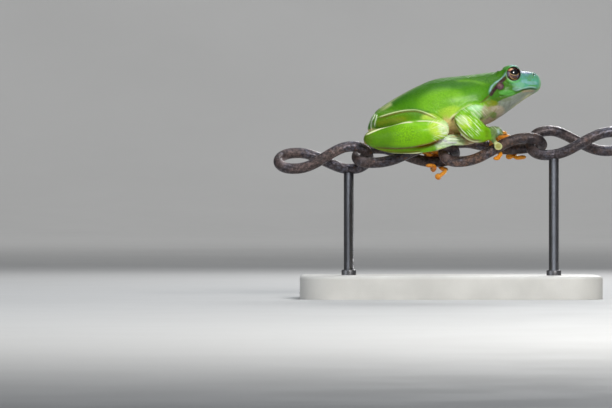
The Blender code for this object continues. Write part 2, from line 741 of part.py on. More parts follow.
def left_foot_digits():
    """Five toes round the second link's back arm: three go over it and two pass below."""
    first = [(-4.4, 7.0, 0.0), *wrap(1, -1, (0.40, -60), (0.34, 0))]
    second = [(-3.8, 7.0, -0.1), *wrap(1, -1, (0.51, -55), (0.48, 35))]
    third = [(-3.9, 6.8, -1.5), *wrap(1, -1, (0.54, -95), (0.54, -150)), (-4.0, 0.8, -3.6)]
    fourth = [(-3.1, 6.8, -1.6), *wrap(1, -1, (0.66, -100), (0.72, -140)), (-2.0, 1.6, -4.2)]
    fifth = [(-2.8, 7.0, 0.2), *wrap(1, -1, (0.65, -60), (0.67, 10))]
    third += [(-5.4, -0.6, -3.5)]
    fourth += [(-0.9, -0.6, -4.6), (-1.7, -2.2, -5.6), (-3.1, -2.8, -6.4)]
    return [
        (first, (0, 0, 1)),
        (second, (0, 0, 1)),
        (third, (0, 0, 1)),
        (fourth, (0.5, 1, 0.3)),
        (fifth, (0, 0, 1)),
    ]


def stand_base():
    """A flat plate with round corners and a softened upper edge."""
    length, width, height = BASE_SIZE
    floor = -PERCH_HEIGHT
    steps = 6
    rings = []
    for level, inset in ((0, 0.0), (height - 1.2, 0.0), (height - 0.35, 0.35), (height, 1.2)):
        ring = []
        for corner in range(4):
            sx, sy = ((1, 1), (-1, 1), (-1, -1), (1, -1))[corner]
            for k in range(steps + 1):
                a = math.radians(90 * (corner + k / steps))
                reach = BASE_CORNER - inset
                ring.append(
                    (
                        sx * (length / 2 - BASE_CORNER) + reach * math.cos(a),
                        sy * (width / 2 - BASE_CORNER) + reach * math.sin(a),
                        floor + level,
                    )
                )
        rings.append(ring)
    base = shell_over("stand_base", rings)
    paint(base, STAND_GREY)
    return base


def stand_rod(name, link_index, share, arm):
    """A rod from the base up to the underside of a link's low arm, hollowed to its wire."""
    top = link_point(link_index, share, arm)
    foot = -PERCH_HEIGHT + BASE_SIZE[2] + GAP
    turns = np.linspace(0, 2 * math.pi, 16, endpoint=False)
    rings = []
    for level in (foot, top[2]):
        rings.append(
            [(top[0] + ROD_RADIUS * math.cos(a), top[1] + ROD_RADIUS * math.sin(a), level) for a in turns]
        )
    rod = shell_over(f"stand_rod_{name}", rings)
    paint(rod, RUSTY_STEEL)
    make_room(rod.name, [f"chain_link_{link_index + 1}"])


def build():
    clear_scene()
    level = bpy.data.objects.new("perch_level", None)
    bpy.context.scene.collection.objects.link(level)
    level.location = (0, 0, PERCH_HEIGHT * MM)

    for index in range(len(ARM_RISES)):
        link(index)
    body = flesh()
    head_from(body)
    torso = half_at_neck(body, "torso", False)
    delete([body])
    thin_out(torso, 1650)
    paint(torso, GREEN)
    for side in (-1, 1):
        eye(side)

    for side, turn in (("right", list), ("left", mirrored)):
        one_solid([limb(f"upper_arm_{side}", turn(UPPER_ARM), 8, 12)], LIME)
        one_solid([limb(f"thigh_{side}", turn(THIGH), 12, 14)], LIME)
        one_solid([limb(f"shank_{side}", turn(SHANK), 11, 14)], LIME)
        one_solid([limb(f"tarsus_{side}", turn(TARSUS), 12, 10)], LIME)
    one_solid([limb("forearm_right", FOREARM, 12, 14)], LIME)
    one_solid([limb("forearm_left", LEFT_FOREARM, 12, 14)], LIME)
    extremity("hand_right", PALM, right_hand_digits(), 0)
    extremity("hand_left", LEFT_PALM, left_hand_digits(), 0)
    extremity("foot_right", HIND_FOOT, right_foot_digits(), 0.5)
    extremity("foot_left", LEFT_HIND_FOOT, left_foot_digits(), 0)

    for side in ("right", "left"):
        make_room(f"forearm_{side}", [f"hand_{side}"])
        make_room(f"upper_arm_{side}", [f"forearm_{side}"])
        make_room(f"tarsus_{side}", [f"foot_{side}"])
        make_room(f"shank_{side}", [f"tarsus_{side}", f"foot_{side}"])
        make_room(f"thigh_{side}", [f"shank_{side}"])
        for part in ("upper_arm", "forearm", "thigh", "shank", "tarsus", "foot", "hand"):
            make_room("torso", [f"{part}_{side}"])
        make_room("head", [f"upper_arm_{side}"])

    stand_base()
    for name, link_index, share, arm in ROD_PLACES:
        stand_rod(name, link_index, share, arm)
    delete([room for group in rooms.values() for room in group])


rooms = {}
build()
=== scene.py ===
# %% [markdown]
# # A Mediterranean tree frog on a cut of twisted chain
#
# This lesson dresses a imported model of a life-size tree frog. The solids that carry it stay
# where they are. We lay one skin over the frog's solids, give it eyes, paint its markings, and
# finish the chain and the display stand. Blender works in metres here; most sizes below are
# written in millimetres and multiplied by MM.

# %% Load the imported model
import json
import math

import bmesh
import bpy
import numpy as np
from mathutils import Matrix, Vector
from mathutils.kdtree import KDTree

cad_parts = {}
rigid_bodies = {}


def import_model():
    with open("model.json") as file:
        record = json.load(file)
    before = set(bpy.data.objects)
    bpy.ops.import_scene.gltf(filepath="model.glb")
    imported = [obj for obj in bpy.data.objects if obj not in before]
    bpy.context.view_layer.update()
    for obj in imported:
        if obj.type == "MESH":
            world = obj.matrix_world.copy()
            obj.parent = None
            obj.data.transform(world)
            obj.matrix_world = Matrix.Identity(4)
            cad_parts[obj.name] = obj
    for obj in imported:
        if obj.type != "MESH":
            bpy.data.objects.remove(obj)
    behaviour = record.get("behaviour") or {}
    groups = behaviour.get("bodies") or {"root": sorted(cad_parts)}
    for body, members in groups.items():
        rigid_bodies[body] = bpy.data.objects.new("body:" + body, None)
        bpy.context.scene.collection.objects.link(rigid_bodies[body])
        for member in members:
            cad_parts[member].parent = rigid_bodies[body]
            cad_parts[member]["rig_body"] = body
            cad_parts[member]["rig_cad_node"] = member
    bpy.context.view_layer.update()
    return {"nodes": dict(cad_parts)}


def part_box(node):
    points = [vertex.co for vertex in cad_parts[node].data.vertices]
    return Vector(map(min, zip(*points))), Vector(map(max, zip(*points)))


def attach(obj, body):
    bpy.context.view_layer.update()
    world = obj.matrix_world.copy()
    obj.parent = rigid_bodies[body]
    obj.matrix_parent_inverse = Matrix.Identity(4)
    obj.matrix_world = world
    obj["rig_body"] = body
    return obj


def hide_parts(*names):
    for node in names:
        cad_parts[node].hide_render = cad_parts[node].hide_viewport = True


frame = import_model()

# %% Sizes that the whole scene uses
MM = 0.001
PERCH = 38.0  # height of the chain's middle line above the table, in millimetres
FROG_NODES = ["head", "torso"]
for side in ("right", "left"):
    for part in ("upper_arm", "forearm", "hand", "thigh", "shank", "tarsus", "foot"):
        FROG_NODES.append(f"{part}_{side}")
print("nodes under the skin:", len(FROG_NODES))


# %% [markdown]
# ## Small helpers
#
# Blender's operators act on whatever is selected, and the loaded solids are all selected at
# first. So every step starts by selecting just what it works on.

# %% Selecting, editing and applying
def select_only(*things):
    bpy.ops.object.select_all(action="DESELECT")
    for thing in things:
        thing.select_set(True)
    bpy.context.view_layer.objects.active = things[0]


def edit(thing, action):
    """Runs action in edit mode with all of the thing's mesh selected."""
    select_only(thing)
    bpy.ops.object.mode_set(mode="EDIT")
    bpy.ops.mesh.select_all(action="SELECT")
    action()
    bpy.ops.object.mode_set(mode="OBJECT")


def apply_modifier(thing, kind, **settings):
    """Adds a modifier with these settings and applies it."""
    select_only(thing)
    modifier = thing.modifiers.new(kind.lower(), kind)
    for name, value in settings.items():
        setattr(modifier, name, value)
    bpy.ops.object.modifier_apply(modifier=modifier.name)


def copy_of(node, name):
    """A copy of a CAD node with its loose triangles joined into one surface."""
    select_only(frame["nodes"][node])
    bpy.ops.object.duplicate()
    piece = bpy.context.active_object
    piece.name = name
    piece.data.name = name
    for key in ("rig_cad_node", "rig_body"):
        if key in piece:
            del piece[key]
    piece.parent = None
    edit(piece, lambda: bpy.ops.mesh.remove_doubles(threshold=1e-7))
    return piece


def triangles(thing):
    thing.data.calc_loop_triangles()
    return len(thing.data.loop_triangles)


# %% Choosing edges and faces by their place
def choose(thing, what, wanted):
    """Selects the edges or faces whose corners all pass the test wanted, and enters edit mode."""
    select_only(thing)
    bpy.ops.object.mode_set(mode="EDIT")
    bpy.ops.mesh.select_mode(type=what)
    bpy.ops.mesh.select_all(action="DESELECT")
    bpy.ops.object.mode_set(mode="OBJECT")
    mesh = thing.data
    count = 0
    for part in mesh.edges if what == "EDGE" else mesh.polygons:
        corners = [mesh.vertices[index].co for index in part.vertices]
        part.select = wanted(corners)
        count += part.select
    bpy.ops.object.mode_set(mode="EDIT")
    return count


# %% Reading and moving a mesh's points
def points_of(thing):
    """Points in millimetres, with heights counted from the chain's middle."""
    flat = np.empty(len(thing.data.vertices) * 3)
    thing.data.vertices.foreach_get("co", flat)
    return flat.reshape(-1, 3) / MM - np.array([0, 0, PERCH])


def set_points(thing, points):
    flat = (points + np.array([0, 0, PERCH])) * MM
    thing.data.vertices.foreach_set("co", flat.ravel())
    thing.data.update()


def add_values(thing, name, values):
    """Keeps a number for each point of a mesh, for its material to read."""
    made = thing.data.attributes.new(name, "FLOAT", "POINT")
    made.data.foreach_set("value", np.asarray(values, np.float32))


# %% Lines, soft edges and bells
def line_distance(points, line):
    """Distance to a line through corners, negative at its right, and the place along it, 0 to 1."""
    corners = np.array(line, float)
    steps = np.linalg.norm(np.diff(corners, axis=0), axis=1)
    starts = np.concatenate([[0.0], np.cumsum(steps)])
    best = np.full(len(points), np.inf)
    along = np.zeros(len(points))
    for number, (a, b) in enumerate(zip(corners, corners[1:])):
        share = np.clip((points - a) @ (b - a) / steps[number] ** 2, 0, 1)
        distance = np.linalg.norm(points - a - share[:, None] * (b - a), axis=1)
        left = (points - a) @ np.array([a[1] - b[1], b[0] - a[0]])
        closer = distance < np.abs(best)
        best[closer] = np.where(left[closer] < 0, -distance[closer], distance[closer])
        along[closer] = (starts[number] + share[closer] * steps[number]) / starts[-1]
    return best, along


def rounded(line, count=24):
    """A list of points on a smooth curve through a line's corners."""
    corners = np.array(line, float)
    knots = np.concatenate([[0.0], np.cumsum(np.linalg.norm(np.diff(corners, axis=0), axis=1))])
    slopes = np.gradient(corners, knots, axis=0)
    at = np.linspace(0, knots[-1], count)
    first = np.clip(np.searchsorted(knots, at, side="right") - 1, 0, len(corners) - 2)
    span = (knots[first + 1] - knots[first])[:, None]
    t = (at - knots[first])[:, None] / span
    return (
        (2 * t**3 - 3 * t**2 + 1) * corners[first]
        + (t**3 - 2 * t**2 + t) * slopes[first] * span
        + (3 * t**2 - 2 * t**3) * corners[first + 1]
        + (t**3 - t**2) * slopes[first + 1] * span
    )


def shifted(line, forward, up):
    """The same line a little further forward and up."""
    return [(x + forward, z + up) for x, z in line]


def ramp(values, low, high):
    """0 below low and 1 above high, with soft ends; low may be the larger one."""
    t = np.clip((values - low) / (high - low), 0, 1)
    return t * t * (3 - 2 * t)


def bell(distance, width):
    """1 at distance 0, fading to about a third at the width."""
    return np.exp(-((distance / width) ** 2))


# %% [markdown]
# ## The skin
#
# A living frog has one skin. Here the body is in sixteen solids with thin gaps between them. The
# skin could be modelled anew by hand, but then it would drift from the solids. So it is made
# from copies of them: rounded by subdivision, swollen until the gaps close, melted into one
# surface by a voxel remesh, and shrunk back to where the solids were.

# %% Keep the rims of the cuts sharp
CREASE_ANGLE = math.radians(50)


def keep_rims_sharp(piece):
    """Creases the rims of the cuts, so that subdivision rounds only what is smooth."""
    edit(piece, lambda: bpy.ops.mesh.tris_convert_to_quads())
    bpy.ops.object.mode_set(mode="EDIT")
    bpy.ops.mesh.select_mode(type="EDGE")
    bpy.ops.mesh.select_all(action="DESELECT")
    bpy.ops.mesh.edges_select_sharp(sharpness=CREASE_ANGLE)
    bpy.ops.transform.edge_crease(value=1.0)
    bpy.ops.object.mode_set(mode="OBJECT")


# %% Join head and torso at the neck
NECK_X = 9.6 * MM
NECK_REACH = 0.3 * MM  # how far from the cut its two flat faces may lie


def open_neck(piece):
    """Takes away the flat cap at the neck's cut."""

    def on_cap(corners):
        return all(abs(corner.x - NECK_X) < NECK_REACH for corner in corners)

    count = choose(piece, "FACE", on_cap)
    bpy.ops.mesh.delete(type="FACE")
    bpy.ops.object.mode_set(mode="OBJECT")
    print("cap faces taken off", piece.name, count)


def close_neck(piece):
    """Bridges the open rims of head and torso."""
    select_only(piece)
    bpy.ops.object.mode_set(mode="EDIT")
    bpy.ops.mesh.select_mode(type="EDGE")
    bpy.ops.mesh.select_all(action="DESELECT")
    bpy.ops.mesh.select_non_manifold()
    bpy.ops.mesh.bridge_edge_loops()
    bpy.ops.object.mode_set(mode="OBJECT")


head_copy = copy_of("head", "head_copy")
torso_copy = copy_of("torso", "torso_copy")
for piece in (head_copy, torso_copy):
    open_neck(piece)
select_only(torso_copy, head_copy)
bpy.ops.object.join()
close_neck(torso_copy)

# %% Round the copies and let them swell
GROWTH = 0.22 * MM
DIGIT_GROWTH = 0.30 * MM  # thin fingers and toes lose more when they are rounded

body_copies = [torso_copy]
for node in FROG_NODES[2:]:
    body_copies.append(copy_of(node, node + "_copy"))
for piece in body_copies:
    keep_rims_sharp(piece)
    thin = piece.name.startswith(("hand", "foot"))
    apply_modifier(piece, "SUBSURF", levels=2, render_levels=2)
    apply_modifier(piece, "DISPLACE", strength=DIGIT_GROWTH if thin else GROWTH, mid_level=0.0)
    print(piece.name, triangles(piece))

# %% Melt the copies into one surface
SKIN_VOXEL = 0.17 * MM

copy_points = []
copy_names = []
for piece in body_copies:
    spots = points_of(piece)
    copy_points.append(spots)
    copy_names += [piece.name.removesuffix("_copy")] * len(spots)
copy_points = np.concatenate(copy_points)
select_only(*body_copies)
bpy.ops.object.join()
skin = bpy.context.active_object
skin.name = "frog_skin"
skin.data.name = "frog_skin"
apply_modifier(skin, "REMESH", mode="VOXEL", voxel_size=SKIN_VOXEL)


# %% Shrink it back
def keep_largest(thing):
    """Drops the small closed surfaces that a remesh leaves inside."""
    mesh = bmesh.new()
    mesh.from_mesh(thing.data)
    left = set(mesh.verts)
    shells = []
    while left:
        todo = [left.pop()]
        shell = set(todo)
        while todo:
            for edge in todo.pop().link_edges:
                for vert in edge.verts:
                    if vert in left:
                        left.discard(vert)
                        shell.add(vert)
                        todo.append(vert)
        shells.append(shell)
    largest = max(shells, key=len)
    bmesh.ops.delete(mesh, geom=[v for v in mesh.verts if v not in largest], context="VERTS")
    mesh.to_mesh(thing.data)
    mesh.free()
    print("closed surfaces found:", len(shells))


keep_largest(skin)
for _ in range(2):
    apply_modifier(skin, "SMOOTH", factor=0.5, iterations=5)
    apply_modifier(skin, "DISPLACE", strength=-GROWTH / 2, mid_level=0.0)
print("skin triangles", triangles(skin))

# %% [markdown]
# ## Knowing the skin's parts
#
# The melted skin no longer knows which part of the frog is which. Each of its points asks for
# the nearest point of the copies, and the answers are blurred a little, so that colours and
# folds fade softly from one part into the next.

# %% A soft share of each part at each point
PARTS = ["body", "upper_arm", "forearm", "hand", "thigh", "shank", "tarsus", "foot"]
BLUR_ROUNDS = 12

copy_tree = KDTree(len(copy_points))
for number, spot in enumerate(copy_points):
    copy_tree.insert(spot, number)
copy_tree.balance()


def blurred(values, links, rounds):
    """Evens out a value over the skin by taking the mean of each point's neighbours."""
    count = np.bincount(links[:, 0], minlength=len(values))
    for _ in range(rounds):
        total = np.bincount(links[:, 0], values[links[:, 1]], minlength=len(values))
        values = 0.5 * values + 0.5 * total / count
    return values


def parts_at(thing, spots):
    """The share of each part of the frog at each point of a mesh."""
    nearest = np.array([copy_names[copy_tree.find(spot)[1]] for spot in spots])
    ends = np.empty(len(thing.data.edges) * 2, int)
    thing.data.edges.foreach_get("vertices", ends)
    ends = ends.reshape(-1, 2)
    links = np.concatenate([ends, ends[:, ::-1]])
    shares = {}
    for part in PARTS:
        mine = np.char.startswith(nearest, "torso" if part == "body" else part)
        shares[part] = blurred(mine.astype(float), links, BLUR_ROUNDS)
    return shares


# %% Masks drawn in the side view
class Drawing:
    """The skin's points as they are now, and soft masks drawn on them in the side view."""

    def __init__(self, thing):
        self.spots = points_of(thing)
        self.forward, self.across, self.height = self.spots.T
        self.side_view = self.spots[:, [0, 2]]
        flat = np.empty(len(thing.data.vertices) * 3)
        thing.data.vertices.foreach_get("normal", flat)
        self.normals = flat.reshape(-1, 3)
        self.facing_side = np.abs(self.normals[:, 1])
        self.share = parts_at(thing, self.spots)

    def near(self, line, width, part=None):
        """1 on a curve of the side view, 0 beside it, and weaker at its ends."""
        distance, along = line_distance(self.side_view, rounded(line))
        strength = bell(distance, width) * ramp(self.facing_side, 0.02, 0.2)
        strength *= 0.25 + 0.75 * ramp(along, 0.0, 0.12) * ramp(along, 1.0, 0.88)
        return strength * self.share[part] if part else strength

    def at_edge(self, line, width, part=None):
        """Like near, for folds along the outline, which fade only at their far end."""
        distance, along = line_distance(self.side_view, rounded(line))
        strength = bell(distance, width) * ramp(along, 1.0, 0.7) * ramp(self.facing_side, 0.04, 0.25)
        return strength * self.share[part] if part else strength

    def trace(self, lines):
        """For thin lines: 0 on a line and 1 or -1 at its rims, and how strongly it shows."""
        side = np.full(len(self.spots), 9.0)
        strength = np.zeros(len(self.spots))
        for line, width, power, part in lines:
            distance, along = line_distance(self.side_view, rounded(line))
            closer = np.abs(distance / width) < np.abs(side)
            shown = ramp(np.abs(distance), 1.1, 0.7) * ramp(along, 0.0, 0.1) * ramp(along, 1.0, 0.9)
            side[closer] = (distance / width)[closer]
            strength[closer] = (power * shown * self.share[part])[closer]
        return side, strength

    def patch(self, middle, radii, part=None):
        """1 inside an oval of the side view, with a soft rim."""
        offset = (self.side_view - np.array(middle)) / np.array(radii)
        strength = ramp(np.linalg.norm(offset, axis=1), 1.25, 0.75)
        return strength * self.share[part] if part else strength

    def beside(self, line, way):
        """1 where a point of the side view lies above the curve (way 1) or below it (way -1)."""
        curve = rounded(line)
        order = np.argsort(curve[:, 0])
        level = np.interp(self.side_view[:, 0], curve[order, 0], curve[order, 1])
        return ramp(way * (self.side_view[:, 1] - level), -0.15, 0.15)

    def away_from(self, place):
        """Distance from a place of the side view."""
        return np.linalg.norm(self.side_view - np.array(place), axis=1)


# %% Smooth the skin where its parts meet, but not fingers, eyelids and mouth
SOFT_ROUNDS = 40
FACE_X = 12.0  # the face is all that lies further forward, in millimetres


def weight_group(thing, name, weights):
    """A vertex group with a weight for each point, in steps of a tenth."""
    group = thing.vertex_groups.new(name=name)
    for tenth in range(1, 11):
        chosen = np.nonzero(np.round(weights * 10) == tenth)[0]
        if len(chosen):
            group.add(chosen.tolist(), tenth / 10, "REPLACE")


def soft_places(drawing):
    """1 where the skin may be evened out, 0 on face, hands and feet."""
    on_face = drawing.share["body"] * ramp(drawing.forward, FACE_X - 1.5, FACE_X)
    return np.clip(1 - on_face - drawing.share["hand"] - drawing.share["foot"], 0, 1)


weight_group(skin, "soft", soft_places(Drawing(skin)))
apply_modifier(skin, "SMOOTH", factor=0.6, iterations=SOFT_ROUNDS, vertex_group="soft")

# %% [markdown]
# ## Folds, ridges and creases
#
# On the real animal the skin wrinkles where the limbs fold, and it is drawn tight over the
# skull. A sculptor would push these in with a brush. In code we push the points in or out along
# their normals, by curves that run in the side view, and both sides of the frog get them.

# %% Curves of the head: forward and up from the chain's middle, in millimetres
MOUTH = [
    (22.4, 16.2), (21.0, 16.4), (19.6, 16.2), (18.3, 15.9),
    (16.1, 15.2), (14.7, 14.7), (12.4, 14.3),
]
LIP = [(22.5, 16.6), (21.0, 16.9), (19.8, 16.7), (18.4, 16.3), (16.8, 15.8)]
THROAT_TOP = [(22.4, 16.1), (19.6, 16.0), (17.6, 15.2), (16.0, 14.5), (13.5, 13.6), (11.2, 12.3)]
THROAT_EDGE = [(21.2, 15.2), (20.0, 14.4), (18.3, 12.8), (17.2, 12.0), (16.3, 11.4)]
STRIPE = [(15.2, 19.6), (13.9, 18.9), (12.8, 17.9), (11.8, 16.7), (10.9, 15.6), (10.4, 14.8)]
STRIPE_TOP = [
    (14.4, 20.7), (13.8, 19.6), (12.8, 18.6), (11.7, 17.9),
    (10.7, 17.0), (10.1, 15.6), (10.0, 15.0),
]
EARDRUM = (12.8, 17.0)
NOSTRIL = (21.7, 20.1)
EYE = (15.9, 4.55, 20.1)  # forward, outward and up
print("mouth drawn from", MOUTH[0], "to", MOUTH[-1], "mm")

# %% Curves of body and limbs
NECK_FOLD = [(10.0, 14.6), (8.9, 13.6), (7.9, 12.8), (7.2, 12.4)]
ARM_FOLD = [(-0.3, 8.2), (0.4, 9.1), (1.5, 9.9), (3.1, 11.1), (4.3, 11.8), (5.5, 12.3)]
CHEST_FOLD = [(11.9, 11.3), (10.9, 9.8), (9.6, 8.6)]
THIGH_RIDGE = [
    (-19.0, 8.9), (-15.7, 9.9), (-13.2, 10.5), (-10.8, 10.8),
    (-9.0, 10.8), (-5.9, 9.8), (-3.3, 8.5),
]
SHANK_TOP = [
    (-22.3, 4.3), (-20.2, 5.2), (-18.3, 6.0), (-16.1, 6.7),
    (-13.2, 7.4), (-11.7, 7.6), (-9.5, 7.7),
]
SHANK_LOW = [(-20.6, 1.2), (-17.5, 0.9), (-13.0, 0.8), (-9.0, 1.2), (-5.2, 2.0), (-2.8, 3.1)]
HEEL_EDGE = [
    (-22.5, 3.2), (-22.3, 1.4), (-20.7, 0.3), (-17.9, -0.4),
    (-14.3, -0.7), (-10.7, -0.7), (-7.0, -0.3),
]
FOREARM_EDGE = [(0.6, 8.6), (0.7, 7.3), (1.6, 5.6), (3.3, 3.9), (5.2, 2.7), (7.6, 2.6)]
BACK_EDGE = [(-5.9, 18.7), (-12.5, 15.3), (-15.4, 13.3), (-17.0, 12.3), (-19.0, 10.7)]
RUMP_SHOULDER = [(-15.6, 12.3), (-16.9, 11.4), (-18.2, 10.4), (-19.2, 9.5)]
RUMP_RIDGES = [
    [(-19.6, 10.2), (-20.4, 9.0), (-21.1, 7.5), (-21.4, 6.4), (-21.1, 5.6)],
    [(-19.5, 9.7), (-19.8, 9.0), (-20.4, 7.8), (-20.5, 6.7), (-20.3, 5.4)],
    [(-19.1, 9.5), (-19.2, 8.8), (-19.5, 7.8), (-19.6, 6.9), (-19.5, 6.2)],
]
SOLE_LINES = [
    [(-3.2, 1.7), (-1.4, 1.9), (0.6, 2.0), (2.4, 2.3)],
    [(-2.0, 2.5), (-0.5, 2.8), (1.2, 2.8), (2.8, 2.8)],
    [(-0.6, 3.7), (0.9, 3.6), (2.4, 3.3)],
]
print(len(RUMP_RIDGES), "ridges on the rump and", len(SOLE_LINES), "lines on the sole")

# %% Push the skin in and out
BROW_HOLLOW = ((12.7, 21.9), (1.1, 0.8))  # middle, half width and height

drawing = Drawing(skin)
LIFTED = [  # curve, half width, height, part
    (STRIPE_TOP, 0.42, 0.22, "body"),
    (STRIPE, 0.35, -0.20, "body"),
    (NECK_FOLD, 0.50, 0.25, "body"),
    (CHEST_FOLD, 0.40, 0.15, "body"),
    (MOUTH, 0.20, -0.16, "body"),
    (LIP, 0.30, 0.10, "body"),
    (ARM_FOLD, 0.42, 0.30, "body"),
    (shifted(ARM_FOLD, 0.35, -0.6), 0.35, -0.20, "body"),
    (SHANK_TOP, 0.28, 0.11, "shank"),
    (THIGH_RIDGE, 0.30, 0.12, "thigh"),
    (HEEL_EDGE, 0.35, 0.14, "tarsus"),
]
lift = np.zeros(len(drawing.spots))
for curve, width, rise, part in LIFTED:
    lift += rise * drawing.near(curve, width, part)
for ridge in RUMP_RIDGES:
    lift += 0.22 * drawing.at_edge(ridge, 0.20)
lift += 0.25 * drawing.at_edge(RUMP_SHOULDER, 0.45, "body")
for line in SOLE_LINES:
    lift -= 0.15 * drawing.near(line, 0.16, "foot")
lift -= 0.6 * drawing.patch(*BROW_HOLLOW, "body")
print("folds from", round(float(lift.min()), 2), "to", round(float(lift.max()), 2), "mm")

# %% Eardrum and nostril
DRUM_RADIUS = 0.88

from_drum = drawing.away_from(EARDRUM)
ear_side = drawing.share["body"] * ramp(drawing.facing_side, 0.3, 0.6)
lift += 0.12 * bell(from_drum - DRUM_RADIUS, 0.22) * ear_side
lift -= 0.10 * ramp(from_drum, 0.85, 0.6) * ear_side
from_nostril = drawing.away_from(NOSTRIL)
at_snout = drawing.share["body"] * ramp(np.abs(drawing.across), 3.4, 2.8)
lift += 0.10 * bell(from_nostril - 0.45, 0.25) * at_snout
lift -= 0.35 * bell(from_nostril, 0.24) * at_snout
print("eardrums on", int(((from_drum < DRUM_RADIUS) & (ear_side > 0.5)).sum()), "points")

# %% Eyelids: the skin is drawn out and in over the rim of each eyeball
LID_MIDDLE = np.array([16.35, 20.2])
LID_RADIUS = 2.15  # the middle of the rim
LID_PULL = 0.28  # towards the opening's middle
LID_RISE = 0.36  # outwards

to_middle = LID_MIDDLE - drawing.side_view
from_middle = np.linalg.norm(to_middle, axis=1)
at_eye = drawing.share["body"] * ramp(np.abs(drawing.across), 3.6, 4.6)
lid = bell(from_middle - LID_RADIUS, 0.45) * at_eye
moved = drawing.spots + drawing.normals * lift[:, None]
moved[:, [0, 2]] += LID_PULL * lid[:, None] * to_middle / np.maximum(from_middle, 0.1)[:, None]
moved[:, 1] += LID_RISE * lid * np.sign(drawing.across)
set_points(skin, moved)
print("lids moved", int((lid > 0.1).sum()), "points")

# %% Thin out the skin where nothing fine is on it
SKIN_TRIANGLES = 186000

plain = soft_places(drawing) - drawing.near(SHANK_TOP, 0.5) - drawing.near(HEEL_EDGE, 0.5)
for ridge in RUMP_RIDGES:
    plain -= drawing.at_edge(ridge, 0.5)
weight_group(skin, "plain", np.clip(plain, 0, 1))
apply_modifier(
    skin,
    "DECIMATE",
    ratio=SKIN_TRIANGLES / triangles(skin),
    vertex_group="plain",
    vertex_group_factor=2.0,
)
skin.vertex_groups.clear()
select_only(skin)
bpy.ops.object.shade_smooth()
print("skin triangles", triangles(skin))

# %% [markdown]
# ## The frog's colours
#
# Tree frogs are bright green above and pale below, with a dark stripe from the eye over the
# eardrum. One could paint an image, but an image would need a flat layout of the skin. Here the
# colours are laid on like thin coats of paint, each with its own soft mask, and kept at the
# skin's points, where the material reads them. Most masks are ovals and lines drawn in the side
# view, so both flanks get the same marks.

# %% Paint
def paint_value(red, green, blue):
    """A colour as seen on a screen, 0 to 255, turned into linear light."""
    seen = np.array([red, green, blue]) / 255
    return np.where(seen < 0.04045, seen / 12.92, ((seen + 0.055) / 1.055) ** 2.4)


LEAF = paint_value(86, 152, 12)
drawing = Drawing(skin)
share = drawing.share
body = share["body"]
colour = np.tile(LEAF, (len(drawing.spots), 1))


def coat(paint, strength, mask):
    """Lays a thin coat of paint over the skin."""
    cover = strength * np.clip(mask, 0, 1)[:, None]
    colour[:] = colour * (1 - cover) + paint * cover


def coat_ovals(ovals):
    """Each oval has its paint, strength, middle, half width and height, and part of the frog."""
    for paint, strength, middle, radii, part in ovals:
        coat(paint, strength, drawing.patch(middle, radii, part))


def coat_lines(lines):
    """Each line has its paint, strength, course, half width and part of the frog."""
    for paint, strength, course, width, part in lines:
        coat(paint, strength, drawing.near(course, width, part))


def show_paint(title):
    red, green, blue = colour.mean(axis=0)
    print(f"{title} painted, mean colour now {red:.3f} {green:.3f} {blue:.3f}")


# %% Upper sides: the top of the back and the neck are darkest, with painted shade on up-facing skin, and a painted highlight lies on the flank behind the arm
BACK_GREEN = paint_value(46, 102, 0)
NECK_GREEN = paint_value(54, 108, 18)
FLANK_LIME = paint_value(132, 194, 40)
FLANK = ((-1.5, 12.0), (6.5, 4.2))  # middle, half width and height
NECK_STREAK = [(9.4, 17.4), (6.0, 18.3), (1.5, 18.4)]

facing_up = drawing.normals[:, 2]
# Painted shade: skin that faces up is darkened
coat(BACK_GREEN, 0.85, ramp(facing_up, 0.20, 0.80) * body)
coat(BACK_GREEN, 0.7, ramp(drawing.forward, -8.0, -17.0) * body)
coat(NECK_GREEN, 0.8, ramp(drawing.forward, 6.0, 12.0) * body)
# Painted highlights: a broad lime one on the flank and a faint streak along the neck
coat(FLANK_LIME, 0.75, drawing.patch(*FLANK, "body") * ramp(drawing.facing_side, 0.3, 0.8))
coat(FLANK_LIME, 0.45, drawing.near(NECK_STREAK, 0.35, "body"))
show_paint("upper sides")

# %% Limbs
LIME = paint_value(138, 200, 14)
SUN_LIME = paint_value(206, 232, 80)
THIGH_GREEN = paint_value(86, 136, 10)
MINT = paint_value(188, 230, 178)
FOOT_GREEN = paint_value(222, 242, 206)
HAND_GREEN = paint_value(130, 146, 100)

coat_ovals([(SUN_LIME, 0.6, (0.6, 10.0), (3.8, 1.7), "body")])  # painted highlight on the flank between arm and knee
coat(THIGH_GREEN, 0.85, share["thigh"])
# painted highlight on the thigh
coat_ovals([(SUN_LIME, 0.7, (-4.6, 8.6), (3.0, 1.4), "thigh")])
coat(LIME, 0.85, share["forearm"] + share["shank"])
coat(LIME, 0.35, share["tarsus"])
coat(LIME, 0.75, share["upper_arm"])
coat_ovals([
    (MINT, 0.9, (6.6, 11.3), (2.3, 0.8), "upper_arm"),  # painted highlight on top of the shoulder
    (MINT, 0.5, (6.6, 9.6), (1.3, 1.6), "upper_arm"),  # painted highlight on the front of the arm
])
coat(FOOT_GREEN, 0.85, share["foot"])
coat(HAND_GREEN, 0.85, share["hand"])
show_paint("limbs")

# %% Undersides are bare of green: tan belly, grey throat, orange toes and inner limbs
BELLY_TAN = paint_value(255, 226, 156)
CHEST_PINK = paint_value(190, 172, 156)
THROAT_GREY = paint_value(148, 152, 146)
PINK_TAN = paint_value(196, 150, 118)
ORANGE = paint_value(236, 146, 36)
RUST_ORANGE = paint_value(196, 92, 16)
BARK = paint_value(54, 32, 30)
BELLY_SPOT = (1.3, 6.0)  # bare skin between the arm and the knee
GROIN_LINE = [(-1.8, 4.5), (1.0, 4.45), (4.0, 4.9)]

